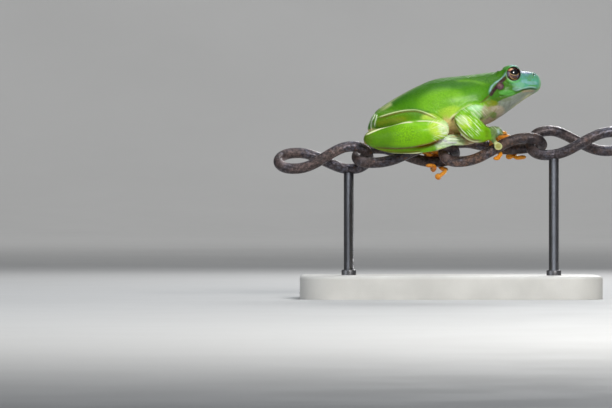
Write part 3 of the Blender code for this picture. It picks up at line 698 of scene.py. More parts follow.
facing_down = -facing_up
belly = body * ramp(facing_down, 0.10, 0.55) * ramp(drawing.forward, 13.0, 10.0)
coat(BELLY_TAN, 1.0, belly * ramp(drawing.forward, 9.5, 7.0))
coat(CHEST_PINK, 1.0, belly * ramp(drawing.forward, 7.0, 9.5))
coat(BELLY_TAN, 0.95, drawing.patch(BELLY_SPOT, (2.5, 2.5), "body"))
wrinkles = 0.5 + 0.5 * np.sin(drawing.forward * 7.0 + 1.5 * np.sin(drawing.height * 1.3))
coat(BARK, 0.14, wrinkles**3 * drawing.patch(BELLY_SPOT, (2.2, 2.2), "body"))
coat(RUST_ORANGE, 0.85, drawing.near(GROIN_LINE, 0.28, "body"))
throat = body * drawing.beside(THROAT_TOP, -1) * ramp(drawing.forward, 11.2, 13.0)
coat(THROAT_GREY, 0.95, throat)
outward = drawing.normals[:, 1] * np.sign(drawing.across)
hidden_side = ramp(outward, 0.1, -0.5)
coat(PINK_TAN, 0.9, hidden_side * (1 - body))
coat(ORANGE, 0.9, hidden_side * (share["foot"] + share["hand"] + 0.5 * share["tarsus"]))
show_paint("undersides")

# %% [markdown]
# ## Toes, fingers and the painted highlights of the foot
#
# The toes that reach round the chain are orange, and the near foot gets painted highlights,
# pale and bluish, along its long bones. Each digit could have a texture of its own. At this size
# a few soft ovals and lines say as much, and they stay easy to move.

# %% Toes and fingers
OLIVE = paint_value(132, 138, 12)
CREAM = paint_value(236, 230, 172)
BONE_WHITE = paint_value(238, 242, 224)
TOE_SHINE = [(-0.5, -4.2), (-0.7, -5.1), (-1.6, -6.2), (-2.6, -6.9)]
OUTER_FINGER = [(12.6, 6.3), (13.8, 6.2), (14.6, 5.5), (15.0, 4.9)]

low_toes = share["foot"] * ramp(drawing.height, 0.4, -0.6)
near_toes = share["foot"] * ramp(drawing.across, -1.0, -2.0)
coat(OLIVE, 0.5, near_toes * ramp(drawing.forward, 1.0, 2.4))
coat(PINK_TAN, 0.7, near_toes * ramp(drawing.forward, 3.0, 4.2))
coat(ORANGE, 0.95, low_toes)
# painted shade on the low toes where they face down
coat(RUST_ORANGE, 0.5, low_toes * ramp(facing_down, -0.2, 0.7))
# painted highlight along the toes
coat(BONE_WHITE, 0.9, drawing.near(TOE_SHINE, 0.16, "foot"))
coat(ORANGE, 0.9, share["hand"] * ramp(drawing.height, 1.0, 0.0))
inward = ramp(np.abs(drawing.across), 5.4, 4.4)
coat(ORANGE, 0.9, share["hand"] * inward * ramp(drawing.height, 6.2, 5.2))
# painted highlight on the outer finger's edge
coat(BONE_WHITE, 0.85, drawing.near(OUTER_FINGER, 0.28, "hand"))
show_paint("toes and fingers")

# %% The finger that hangs in front, with its round disc
FINGER_BLUE = paint_value(178, 206, 206)
DISC_OLIVE = paint_value(150, 138, 62)
FRONT_FINGER = [(12.3, 5.6), (12.6, 4.2), (12.5, 2.8)]
FRONT_DISC = (12.3, 1.5)

on_finger = share["hand"] * ramp(drawing.across, -5.4, -6.0) * ramp(drawing.forward, 14.4, 13.6)
from_finger = np.abs(line_distance(drawing.side_view, FRONT_FINGER)[0])
# Painted shade around the front finger and a painted bluish highlight along it
coat(BARK, 0.25, on_finger * ramp(from_finger, 0.45, 0.95) * ramp(drawing.height, 2.2, 3.2))
coat(FINGER_BLUE, 0.8, on_finger * bell(from_finger, 0.35))
from_disc = drawing.away_from(FRONT_DISC)
coat(CREAM, 0.55, on_finger * ramp(from_disc, 1.5, 1.2))
coat(DISC_OLIVE, 0.75, on_finger * ramp(from_disc, 0.85, 0.5))
show_paint("front finger")

# %% Painted highlights on the foot, as pale streaks along its long bones, with painted shade between them
LAVENDER = paint_value(214, 206, 228)
HIGHLIGHT_WHITE = paint_value(236, 246, 226)

# a painted highlight over the middle of the foot
coat_ovals([(HIGHLIGHT_WHITE, 0.55, (-1.2, 2.8), (2.8, 1.0), "foot")])
coat_lines([
    (LAVENDER, 0.90, [(-3.4, 2.3), (-2.0, 2.9), (-0.9, 2.6)], 0.40, "foot"),  # painted highlight from the heel
    (HIGHLIGHT_WHITE, 0.85, [(-0.6, 3.3), (1.3, 3.2)], 0.28, "foot"),  # upper painted highlight
    (LAVENDER, 0.80, [(-0.8, 2.3), (1.7, 2.4)], 0.24, "foot"),  # lower painted highlight
])
# painted shade in the grooves between the streaks
coat_lines([(BARK, 0.45, course, 0.12, "foot") for course in SOLE_LINES])
coat_lines([
    (SUN_LIME, 0.7, [(-4.0, 0.6), (-2.5, 0.9), (-0.4, 1.0), (1.7, 1.6)], 0.22, "foot"),  # low edge
    (RUST_ORANGE, 0.5, [(0.0, 3.9), (2.0, 3.9)], 0.16, "foot"),  # high edge
])
show_paint("bones of the foot")

# %% [markdown]
# ## The face
#
# The snout is bluish, the lips are edged with light, and a dark stripe runs from the eye over
# the eardrum. Makers of museum models paint a face last and with the thinnest brush. So its
# marks are small ovals and narrow lines here, laid on from large to small.

# %% Snout and lips
TEAL = paint_value(98, 176, 158)
SKY = paint_value(164, 198, 216)
HEATHER = paint_value(92, 96, 158)
SNOUT_MIDDLE = (19.4, 18.2)
SNOUT_TOP = [(17.9, 20.8), (19.2, 20.7), (20.8, 20.4)]
CHIN = [(18.4, 15.6), (20.0, 15.8), (21.8, 15.8)]

coat_ovals([
    (TEAL, 0.80, (20.0, 18.4), (4.2, 2.2), "body"),  # the whole snout
    (SKY, 0.40, (21.1, 17.9), (1.6, 0.5), "body"),  # below the nostril
    (SKY, 0.30, (19.1, 18.3), (0.9, 0.5), "body"),  # in front of the eye
    (LEAF, 0.60, (21.4, 17.15), (1.3, 0.25), "body"),  # green just over the lip
    (SKY, 0.30, (17.2, 16.3), (1.2, 0.6), "body"),  # bulge over the lip's rear end
    (MINT, 0.22, (17.6, 17.3), (1.6, 0.9), "body"),  # cheek below the eye
])
coat(HEATHER, 0.75, drawing.near(SNOUT_TOP, 0.34, "body"))
coat(HEATHER, 0.3, body * ramp(facing_up, 0.2, 0.7) * ramp(drawing.forward, 16.6, 19.0))
# a pale rim round the snout's tip, painted rim light
at_tip = ramp(drawing.away_from(SNOUT_MIDDLE), 3.4, 4.1) * ramp(drawing.forward, 20.6, 22.4)
coat(MINT, 0.45, body * at_tip)
coat_lines([
    (FINGER_BLUE, 0.7, LIP, 0.15, "body"),
    (PINK_TAN, 0.5, CHIN, 0.28, "body"),
])
# Painted shade in the mouth's groove and in the nostril
coat(BARK, 0.95, drawing.near(MOUTH, 0.14, "body") * ramp(drawing.forward, 17.6, 19.4))
coat(BARK, 0.45, drawing.near(MOUTH, 0.16, "body"))
coat(BARK, 0.9, body * bell(drawing.away_from(NOSTRIL), 0.28))
show_paint("snout and lips")

# %% Jaw, throat and chest
LEAF_LIGHT = paint_value(110, 196, 96)
DARK_OLIVE = paint_value(88, 96, 10)
THROAT_FOLDS = [[(13.0 + step, 13.4), (12.4 + step, 11.2)] for step in (0.0, 1.3, 2.6)]

coat_ovals([
    (LEAF_LIGHT, 0.50, (14.6, 15.3), (2.0, 0.7), "body"),  # light on the jaw
    (DARK_OLIVE, 0.35, (13.4, 13.6), (2.4, 0.6), "body"),  # shade below the jaw
    (CHEST_PINK, 0.85, (11.7, 10.6), (2.3, 1.5), "body"),
    (CHEST_PINK, 0.85, (9.1, 10.4), (1.1, 1.7), "upper_arm"),  # root of the arm
    (OLIVE, 0.85, (10.4, 12.5), (1.9, 0.8), "body"),  # in front of the shoulder
])
coat_lines([(RUST_ORANGE, 0.5, [(8.6, 12.3), (9.2, 11.6), (10.2, 11.2)], 0.22, "body")])
coat_ovals([
    (PINK_TAN, 0.6, (8.8, 10.6), (1.1, 1.2), "body"),  # painted shade in the armpit
    (THIGH_GREEN, 0.7, (11.0, 9.6), (1.0, 0.8), "body"),  # green spot on the chest
])
# painted shade in the throat's folds
coat_lines([(BARK, 0.22, course, 0.22, "body") for course in THROAT_FOLDS])
from_throat_edge, _ = line_distance(drawing.side_view, rounded(THROAT_EDGE))
coat(CREAM, 0.55, body * bell(from_throat_edge, 0.45) * ramp(drawing.height, 15.6, 14.6))
show_paint("jaw, throat and chest")

# %% The dark stripe, the eardrum and the fold behind them
PLUM = paint_value(92, 56, 76)
DRUM_LIGHT = (12.6, 17.3)

from_stripe, _ = line_distance(drawing.side_view, rounded(STRIPE))
stripe = ramp(np.abs(from_stripe), 0.62, 0.34) * drawing.beside(STRIPE_TOP, -1)
coat(SKY, 0.75, drawing.near(STRIPE_TOP, 0.22, "body"))
coat(BARK, 1.0, stripe * ramp(drawing.forward, 14.6, 13.8) * body)
from_drum = drawing.away_from(EARDRUM)
ear_side = body * ramp(drawing.facing_side, 0.3, 0.6)
coat(PLUM, 0.95, ramp(from_drum, DRUM_RADIUS + 0.22, DRUM_RADIUS) * ear_side)
coat(BARK, 0.85, bell(from_drum - DRUM_RADIUS, 0.16) * ear_side)
coat(PINK_TAN, 0.30, bell(drawing.away_from(DRUM_LIGHT), 0.4) * ear_side)
# Painted shade in the fold behind the eardrum
coat(BARK, 0.6, drawing.near(NECK_FOLD, 0.22, "body"))
show_paint("stripe and eardrum")

# %% Eyelids: a pale lower rim, a painted bluish highlight in front and a dark inner edge
GOLD_OLIVE = paint_value(132, 118, 40)
EYE_CORNER = (14.1, 19.0)
CORNER_LINE = [(14.5, 19.3), (13.9, 18.7), (13.3, 18.2)]  # from the eye to the eardrum

eye_forward = drawing.forward - EYE[0]
eye_height = drawing.height - EYE[2]
from_eye = drawing.away_from(LID_MIDDLE)
at_eye = body * ramp(np.abs(drawing.across), 4.6, 5.2)
low_rim = at_eye * ramp(eye_height, -0.8, -1.6)
coat(LEAF_LIGHT, 0.7, bell(from_eye - LID_RADIUS, 0.30) * low_rim)
coat_ovals([(LEAF_LIGHT, 0.30, (15.6, 22.0), (2.2, 1.0), "body")])
brow = body * ramp(np.abs(drawing.across), 4.6, 6.8) * ramp(eye_forward + eye_height, 0.8, 2.6)
coat(SKY, 0.8, bell(from_eye - LID_RADIUS - 0.10, 0.40) * brow)
rear_rim = at_eye * ramp(eye_forward + eye_height, -1.2, -2.2)
coat(MINT, 0.7, bell(from_eye - LID_RADIUS + 0.17, 0.15) * rear_rim)
coat(GOLD_OLIVE, 0.4, bell(drawing.away_from(EYE_CORNER), 0.45) * at_eye)
coat(BARK, 0.7, drawing.near(CORNER_LINE, 0.34, "body"))
coat(BARK, 0.95, ramp(from_eye, 1.92, 1.80) * at_eye)
show_paint("eyelids")

# %% [markdown]
# ## Light and shade along the folds
#
# A fold of wet skin catches light on its crest and holds shade below. The lamps alone would
# show it too faintly at this size. So each fold gets a pale line and a dark one beside it, as a
# model painter would add them.

# %% Folds of body and rump
THIGH_SHADE = [(-19.5, 7.2), (-16.0, 7.9), (-11.0, 8.6)]

coat_lines([
    (BARK, 0.6, shifted(ARM_FOLD, 0.25, -0.5), 0.28, "body"),
    (CREAM, 0.9, ARM_FOLD, 0.30, "body"),
    # painted light along the back's rear edge
    (CREAM, 0.4, BACK_EDGE, 0.40, "body"),
])
# Painted light on the rump's fold and ridges
coat(CREAM, 0.45, drawing.at_edge(RUMP_SHOULDER, 0.45, "body"))
for ridge in RUMP_RIDGES:
    coat(BONE_WHITE, 0.85, drawing.at_edge(ridge, 0.15))
coat(BARK, 0.45, drawing.near(shifted(THIGH_RIDGE, 0.0, -0.4), 0.25, "thigh"))
coat(CREAM, 0.42, drawing.near(THIGH_RIDGE, 0.13, "thigh") * ramp(drawing.forward, -3.5, -6.5))
coat(OLIVE, 0.6, drawing.near(THIGH_SHADE, 0.9, "thigh"))
show_paint("folds of body and rump")

# %% Shank and heel
coat(THIGH_GREEN, 0.85, ramp(drawing.forward, -12.0, -17.0) * share["shank"])
coat(DARK_OLIVE, 0.5, ramp(drawing.forward, -19.6, -21.6) * share["shank"])
coat_ovals([
    (SUN_LIME, 0.8, (-2.6, 6.2), (3.2, 2.6), "shank"),  # painted sunlight on the knee
    # painted highlight on the knee
    (HIGHLIGHT_WHITE, 0.5, (-1.8, 6.4), (1.6, 1.9), "shank"),
])
# Pale lines on the shank's top and the heel's edge are painted light; dark lines in the creases
# beside them are painted shade
coat_lines([
    (CREAM, 0.80, SHANK_TOP, 0.17, "shank"),
    (BARK, 0.65, SHANK_LOW, 0.28, None),
    (RUST_ORANGE, 0.70, SHANK_LOW[3:], 0.35, None),
    (OLIVE, 0.50, SHANK_LOW, 0.80, "tarsus"),
    (DARK_OLIVE, 0.70, shifted(HEEL_EDGE, 0.15, 0.5), 0.25, "tarsus"),
])
coat(CREAM, 0.9, drawing.at_edge(HEEL_EDGE, 0.24, "tarsus"))
show_paint("shank and heel")

# %% Forearm
WRIST_SHADE = [(9.0, 5.9), (9.4, 4.8), (9.2, 3.6)]
ELBOW_GLOW = [(4.8, 2.3), (6.5, 2.1), (8.4, 2.2), (9.8, 3.0)]

# Painted highlights on the forearm
coat_ovals([
    (SUN_LIME, 0.60, (3.4, 7.6), (2.0, 1.8), "forearm"),
    (HIGHLIGHT_WHITE, 0.35, (2.8, 8.2), (1.4, 1.2), "forearm"),
])
# The pale line on the forearm's edge is painted light, the dark line beside it painted shade
coat_lines([
    (DARK_OLIVE, 0.45, WRIST_SHADE, 0.60, "forearm"),
    (CREAM, 0.80, FOREARM_EDGE, 0.40, "forearm"),
    (BARK, 0.50, shifted(FOREARM_EDGE, 0.55, 0.45), 0.20, "forearm"),
    (RUST_ORANGE, 0.70, ELBOW_GLOW, 0.35, "forearm"),
])
show_paint("forearm")

# %% [markdown]
# ## Thin lines
#
# Pale lines of painted light on ridges and edges, and dark lines of painted shade in creases,
# outline the limbs. Painted point by point they would be as coarse as the mesh. So each point
# keeps how far it lies to the left or right of the nearest line, and the material, which reads
# the value in between, draws the line sharp.

# %% Thin lines
KNEE_EDGE = [
    (-9.5, 7.8), (-5.5, 7.8), (-2.8, 7.1), (-1.2, 5.9),
    (-0.8, 4.7), (-1.4, 3.2), (-2.7, 2.0),
]

PALE_LINES = [  # curve, half width, strength, part
    (THIGH_RIDGE, 0.12, 0.55, "thigh"),
    (shifted(SHANK_TOP, 0.0, -0.12), 0.17, 0.95, "shank"),
    (KNEE_EDGE, 0.18, 0.90, "shank"),
    (shifted(HEEL_EDGE, 0.08, 0.16), 0.17, 0.95, "tarsus"),
    (FOREARM_EDGE, 0.20, 0.90, "forearm"),
    (ARM_FOLD, 0.15, 0.80, "body"),
]
DARK_LINES = [
    (SHANK_LOW, 0.16, 0.85, "shank"),
    (shifted(THIGH_RIDGE, 0.0, -0.45), 0.16, 0.50, "thigh"),
    (shifted(HEEL_EDGE, 0.2, 0.62), 0.15, 0.55, "tarsus"),
    (shifted(FOREARM_EDGE, 0.45, 0.35), 0.15, 0.65, "forearm"),
    (shifted(ARM_FOLD, 0.25, -0.45), 0.18, 0.70, "body"),
    (NECK_FOLD, 0.14, 0.50, "body"),
    (CHEST_FOLD, 0.14, 0.35, "body"),
]
for name, lines in (("pale_line", PALE_LINES), ("dark_line", DARK_LINES)):
    side, strength = drawing.trace(lines)
    add_values(skin, name + "_side", side)
    add_values(skin, name + "_strength", strength)
    print(name, len(lines), "lines,", int((strength > 0.3).sum()), "points near them")

# %% Keep the paint on the skin
paint = skin.data.attributes.new("paint", "FLOAT_COLOR", "POINT")
paint.data.foreach_set("color", np.column_stack([colour, np.ones(len(colour))]).ravel())
print("paint on", len(colour), "points")

# %% [markdown]
# ## Where the skin is mottled and where highlights are painted on
#
# Three more values go with the paint: how mottled the skin is, how strongly pale streaks are
# painted on as highlights, and which way these streaks run. They fan out from the knee and lie
# along the arm, as the skin is stretched there.

# %% Mottled places, and places with painted highlights
KNEE = (-7.2, 4.9)

mottled = drawing.patch((-13.0, 4.4), (5.0, 2.4), "shank")
mottled += 0.5 * drawing.patch((-4.5, 13.0), (6.0, 4.0), "body")
mottled += drawing.patch((20.8, 19.2), (1.8, 0.9), "body")
mottled += 0.6 * drawing.patch((9.0, 19.0), (6.0, 2.0), "body")
mottled *= 1 - stripe
arm_share = share["upper_arm"] + share["forearm"] + share["hand"]
on_arm = ramp(arm_share, 0.45, 0.55)
shining = drawing.patch((-2.4, 5.9), (4.5, 3.4), "shank")
shining *= ramp(drawing.away_from(KNEE), 1.8, 4.0)
shining += drawing.patch((4.4, 6.9), (3.8, 3.2), "forearm")
shining += 0.5 * share["foot"] * ramp(drawing.height, 0.4, 1.2) + 0.6 * share["upper_arm"]
shining += 0.4 * share["hand"] * ramp(drawing.height, 4.0, 5.0)
shining *= ramp(np.abs(arm_share - 0.5), 0.10, 0.35)  # no streaks where arm and body meet
add_values(skin, "mottled", np.clip(mottled, 0, 1))
add_values(skin, "shining", np.clip(shining, 0, 1))
# The wet streaks are painted highlights.
print("wet streaks on", int((shining > 0.5).sum()), "points")

# %% Which way the streaks run, in millimetres along and across them
FAN_RADIUS = 5.0
ARM_ALONG = np.array([0.72, -0.69])
ARM_ACROSS = np.array([0.69, 0.72])

from_knee = drawing.side_view - np.array(KNEE)
round_knee = np.arctan2(from_knee[:, 1], from_knee[:, 0]) * FAN_RADIUS
grain = np.column_stack([
    drawing.away_from(KNEE) * (1 - on_arm) + drawing.side_view @ ARM_ALONG * on_arm,
    round_knee * (1 - on_arm) + drawing.side_view @ ARM_ACROSS * on_arm,
    np.zeros(len(colour)),
])
direction = skin.data.attributes.new("grain", "FLOAT_VECTOR", "POINT")
direction.data.foreach_set("vector", grain.ravel())
print("streaks run on", int((on_arm > 0.5).sum()), "points along the arm")


# %% [markdown]
# ## Building blocks for materials
#
# Each finish is a small network of nodes: a colour that varies, a roughness that varies with it,
# and a fine relief. Cloudy noise and a two-step relief come up in all of them, so each is built
# once as a node group, and every material places it with its own numbers.

# %% Two node groups that the materials share
def group_with(name, inputs, output):
    """A node group with named inputs, each with its first value, and one output."""
    group = bpy.data.node_groups.new(name, "ShaderNodeTree")
    for label, value in inputs.items():
        kind = "NodeSocketVector" if value is None else "NodeSocketFloat"
        socket = group.interface.new_socket(label, in_out="INPUT", socket_type=kind)
        if value is not None:
            socket.default_value = value
    label, kind = output
    group.interface.new_socket(label, in_out="OUTPUT", socket_type=kind)
    given = group.nodes.new("NodeGroupInput").outputs
    result = group.nodes.new("NodeGroupOutput").inputs
    return group, given, result


def cloudy_spots():
    """Noise, stretched between two of its values."""
    inputs = {"Place": None, "Scale": 400, "Detail": 3, "Roughness": 0.5, "Low": 0.4, "High": 0.6}
    group, given, result = group_with("cloudy_spots", inputs, ("Mask", "NodeSocketFloat"))
    noise = group.nodes.new("ShaderNodeTexNoise")
    band = group.nodes.new("ShaderNodeMapRange")
    band.interpolation_type = "SMOOTHSTEP"
    group.links.new(given["Place"], noise.inputs["Vector"])
    for label in ("Scale", "Detail", "Roughness"):
        group.links.new(given[label], noise.inputs[label])
    group.links.new(noise.outputs["Fac"], band.inputs["Value"])
    group.links.new(given["Low"], band.inputs["From Min"])
    group.links.new(given["High"], band.inputs["From Max"])
    group.links.new(band.outputs["Result"], result["Mask"])
    return group


def two_step_relief():
    """A fine relief on a coarse one."""
    inputs = {"Coarse": 0, "Coarse Depth": 0.0001, "Fine": 0, "Fine Depth": 0.0001}
    group, given, result = group_with("two_step_relief", inputs, ("Normal", "NodeSocketVector"))
    fine = group.nodes.new("ShaderNodeBump")
    coarse = group.nodes.new("ShaderNodeBump")
    group.links.new(given["Fine"], fine.inputs["Height"])
    group.links.new(given["Fine Depth"], fine.inputs["Distance"])
    group.links.new(given["Coarse"], coarse.inputs["Height"])
    group.links.new(given["Coarse Depth"], coarse.inputs["Distance"])
    group.links.new(fine.outputs["Normal"], coarse.inputs["Normal"])
    group.links.new(coarse.outputs["Normal"], result["Normal"])
    return group


CLOUDY_SPOTS = cloudy_spots()
TWO_STEP_RELIEF = two_step_relief()
print("node groups:", CLOUDY_SPOTS.name, TWO_STEP_RELIEF.name)


# %% A material under construction
class Recipe:
    """A material with short names for the nodes that it needs."""

    def __init__(self, name):
        self.material = bpy.data.materials.new(name)
        self.material.use_nodes = True
        self.tree = self.material.node_tree
        self.shader = self.tree.nodes["Principled BSDF"]

    def node(self, kind, **settings):
        made = self.tree.nodes.new(kind)
        for name, value in settings.items():
            setattr(made, name, value)
        return made

    def feed(self, socket, value):
        """Links a socket to another one, or sets it to a number or a colour."""
        if isinstance(value, bpy.types.NodeSocket):
            self.tree.links.new(value, socket)
        elif socket.type == "RGBA":
            socket.default_value = (*value, 1)
        else:
            socket.default_value = value

    def finish(self, **values):
        """Feeds the shader's sockets; an underscore stands for a space."""
        for name, value in values.items():
            self.feed(self.shader.inputs[name.replace("_", " ")], value)
        return self.material

    def place(self):
        return self.node("ShaderNodeTexCoord").outputs["Object"]

    def kept(self, name, output="Fac"):
        """A value that is kept at the mesh's points."""
        return self.node("ShaderNodeAttribute", attribute_name=name).outputs[output]

    def times(self, first, second):
        made = self.node("ShaderNodeMath", operation="MULTIPLY")
        self.feed(made.inputs[0], first)
        self.feed(made.inputs[1], second)
        return made.outputs["Value"]

    def spots(self, place, scale, low, high, detail=3.0, roughness=0.5):
        """Cloudy spots with grains of 1 / scale; wider apart for a higher low."""
        made = self.node("ShaderNodeGroup", node_tree=CLOUDY_SPOTS)
        values = {"Place": place, "Scale": scale, "Detail": detail, "Roughness": roughness}
        for label, value in {**values, "Low": low, "High": high}.items():
            self.feed(made.inputs[label], value)
        return made.outputs["Mask"]

    def relief(self, coarse, coarse_depth, fine, fine_depth):
        """A relief in two steps, with depths in metres."""
        made = self.node("ShaderNodeGroup", node_tree=TWO_STEP_RELIEF)
        steps = {"Coarse": coarse, "Coarse Depth": coarse_depth}
        for label, value in {**steps, "Fine": fine, "Fine Depth": fine_depth}.items():
            self.feed(made.inputs[label], value)
        return made.outputs["Normal"]

    def line(self, name):
        """A thin line from the side and strength that the mesh keeps."""
        distance = self.node("ShaderNodeMath", operation="ABSOLUTE")
        self.feed(distance.inputs[0], self.kept(name + "_side"))
        inside = self.band(distance.outputs["Value"], 1.4, 0.5)
        return self.times(inside, self.kept(name + "_strength"))

    def cells(self, scale):
        """Small round cells, 1 / scale wide."""
        made = self.node("ShaderNodeTexVoronoi")
        self.feed(made.inputs["Vector"], self.place())
        self.feed(made.inputs["Scale"], scale)
        return made.outputs["Distance"]

    def band(self, value, low, high, low_out=0.0, high_out=1.0):
        """Stretches values between low and high to a new range."""
        made = self.node("ShaderNodeMapRange", interpolation_type="SMOOTHSTEP")
        labels = ("From Min", "From Max", "To Min", "To Max")
        for label, number in zip(labels, (low, high, low_out, high_out)):
            made.inputs[label].default_value = number
        self.feed(made.inputs["Value"], value)
        return made.outputs["Result"]

    def mapped(self, place, middle=(0, 0, 0), turn=0.0, size=(1, 1, 1)):
        """Coordinates that count from middle, along axes turned in the plane, in these sizes."""
        made = self.node("ShaderNodeMapping", vector_type="TEXTURE")
        self.feed(made.inputs["Vector"], place)
        made.inputs["Location"].default_value = middle
        made.inputs["Rotation"].default_value = (0, 0, turn)
        made.inputs["Scale"].default_value = size
        return made.outputs["Vector"]

    def oval(self, place, middle, radii, turn=0.0):
        """0 in the middle of an oval, 1 on its rim and more outside."""
        length = self.node("ShaderNodeVectorMath", operation="LENGTH")
        self.feed(length.inputs[0], self.mapped(place, (*middle, 0), math.radians(turn), (*radii, 1)))
        return length.outputs["Value"]

    def mix(self, share, first, second, way="MIX"):
        """Mixes two colours; share, too, is a socket or a number."""
        made = self.node("ShaderNodeMix", data_type="RGBA", blend_type=way)
        for socket, value in ((0, share), (6, first), (7, second)):
            self.feed(made.inputs[socket], value)
        return made.outputs[2]


# %% [markdown]
# ## The frog's skin as a material
#
# The paint alone looks like plastic. Real frog skin is cloudy with pigment, has pores, and is
# wet. So clouds and grains darken the paint, some places are marbled, and pale streaks are
# painted on as highlights where the light slides along stretched skin. Thin pale lines are
# painted light on ridges and edges, thin dark lines painted shade in creases. A little light
# passes through the flesh, a thin clear coat gives the gloss, and a sheen gives the pale
# outline that wet edges have.

# %% Green skin
STREAK_SIZE = (4.0, 0.38, 1.0)  # along and across the streaks, in millimetres
CLOUD_TINT = (0.55, 0.72, 0.45)
GRAIN_TINT = (0.62, 0.75, 0.45)
MARBLE_GREEN = (0.10, 0.26, 0.01)
# A painted highlight in streaks, painted light on ridges and painted shade in creases
STREAK_HIGHLIGHT = (0.86, 0.95, 0.70)
RIDGE_LIGHT_CREAM = (0.78, 0.80, 0.48)
CREASE_SHADE_BROWN = (0.16, 0.09, 0.012)


def skin_material():
    """The paint, clouded, grained and marbled, with painted highlight streaks and thin lines of
    painted light and shade over it.
    """
    recipe = Recipe("frog_skin")
    place = recipe.place()
    clouds = recipe.spots(place, 420, 0.35, 0.68, 4.0, 0.6)
    grains = recipe.spots(place, 1700, 0.38, 0.66, 3.0, 0.6)
    marbling = recipe.times(recipe.kept("mottled"), recipe.spots(place, 3000, 0.46, 0.58, 2.0))
    grain = recipe.mapped(recipe.kept("grain", "Vector"), size=STREAK_SIZE)
    streaks = recipe.times(recipe.kept("shining"), recipe.spots(grain, 1.0, 0.50, 0.66, 3.0, 0.6))
    base = recipe.kept("paint", "Color")
    base = recipe.mix(recipe.times(clouds, 0.30), base, CLOUD_TINT, "MULTIPLY")
    base = recipe.mix(recipe.times(grains, 0.35), base, GRAIN_TINT, "MULTIPLY")
    base = recipe.mix(recipe.times(marbling, 0.65), base, MARBLE_GREEN)
    base = recipe.mix(recipe.times(streaks, 0.85), base, STREAK_HIGHLIGHT)
    base = recipe.mix(recipe.line("dark_line"), base, CREASE_SHADE_BROWN)
    base = recipe.mix(recipe.line("pale_line"), base, RIDGE_LIGHT_CREAM)
    folds = recipe.spots(place, 800, 0.0, 1.0)
    return recipe.finish(
        Base_Color=base,
        Roughness=recipe.band(clouds, 0, 1, 0.42, 0.58),
        Normal=recipe.relief(folds, 0.00014, recipe.cells(2600), 0.00005),
        Specular_IOR_Level=0.14,
        Subsurface_Weight=0.12,
        Subsurface_Radius=(0.8, 1.0, 0.4),
        Subsurface_Scale=0.0006,
        Coat_Weight=0.08,
        Coat_Roughness=0.22,
        Sheen_Weight=0.10,
        Sheen_Roughness=0.25,
        Sheen_Tint=(0.95, 1.0, 0.78),
    )


skin.data.materials.clear()
skin.data.materials.append(skin_material())
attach(skin, "root")
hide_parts(*FROG_NODES)
print("skin dressed")


# %% [markdown]
# ## The eyes
#
# The eyeball is a clear, wet dome over a brown iris with gold flecks, and the pupil is a dark
# oval that lies level. One could build cornea, iris and lens apart, as in a film character. At
# this size one ball with a slightly raised cornea looks the same, and its iris is drawn by the
# material, in millimetres forward and up from the pupil's middle.

# %% One eyeball
EYE_RADIUS = 2.3
CORNEA_RISE = 0.09
CORNEA_RADIUS = 1.9

bpy.ops.object.select_all(action="DESELECT")
bpy.ops.mesh.primitive_uv_sphere_add(segments=64, ring_count=40, radius=EYE_RADIUS * MM)
eyeball = bpy.context.active_object
pole = 0.999 * EYE_RADIUS * MM
choose(eyeball, "FACE", lambda corners: any(corner.z > pole for corner in corners))
bpy.ops.transform.translate(
    value=(0, 0, CORNEA_RISE * MM),
    use_proportional_edit=True,
    proportional_edit_falloff="SMOOTH",
    proportional_size=CORNEA_RADIUS * MM,
)
bpy.ops.object.mode_set(mode="OBJECT")
bpy.ops.object.shade_smooth()
tip = max(corner.co.z for corner in eyeball.data.vertices)
print("eyeball reaches", round(tip / MM, 2), "mm from its middle")

# %% Iris and pupil
PUPIL = (1.16, 0.76)  # half its width and half its height
PUPIL_BLACK = paint_value(5, 6, 12)
IRIS_BROWN = paint_value(66, 46, 44)
IRIS_FLECK = paint_value(112, 78, 68)
IRIS_COPPER = paint_value(206, 136, 104)
IRIS_CREAM = paint_value(240, 206, 170)
IRIS_PINK = paint_value(176, 112, 116)
IRIS_GOLD = paint_value(200, 166, 104)
IRIS_MAUVE = paint_value(108, 100, 116)
IRIS_RIM = (0.020, 0.014, 0.020)
IRIS_SPOTS = [  # middle, half width and height, turn in degrees, tone
    ((0.95, -1.0), (0.40, 0.45), 0, IRIS_MAUVE),
    ((-1.65, -0.35), (0.34, 0.7), 0, IRIS_MAUVE),
    ((-0.98, 0.74), (0.62, 0.34), 20, IRIS_COPPER),
    ((-0.78, 0.86), (0.40, 0.14), 15, IRIS_CREAM),
]


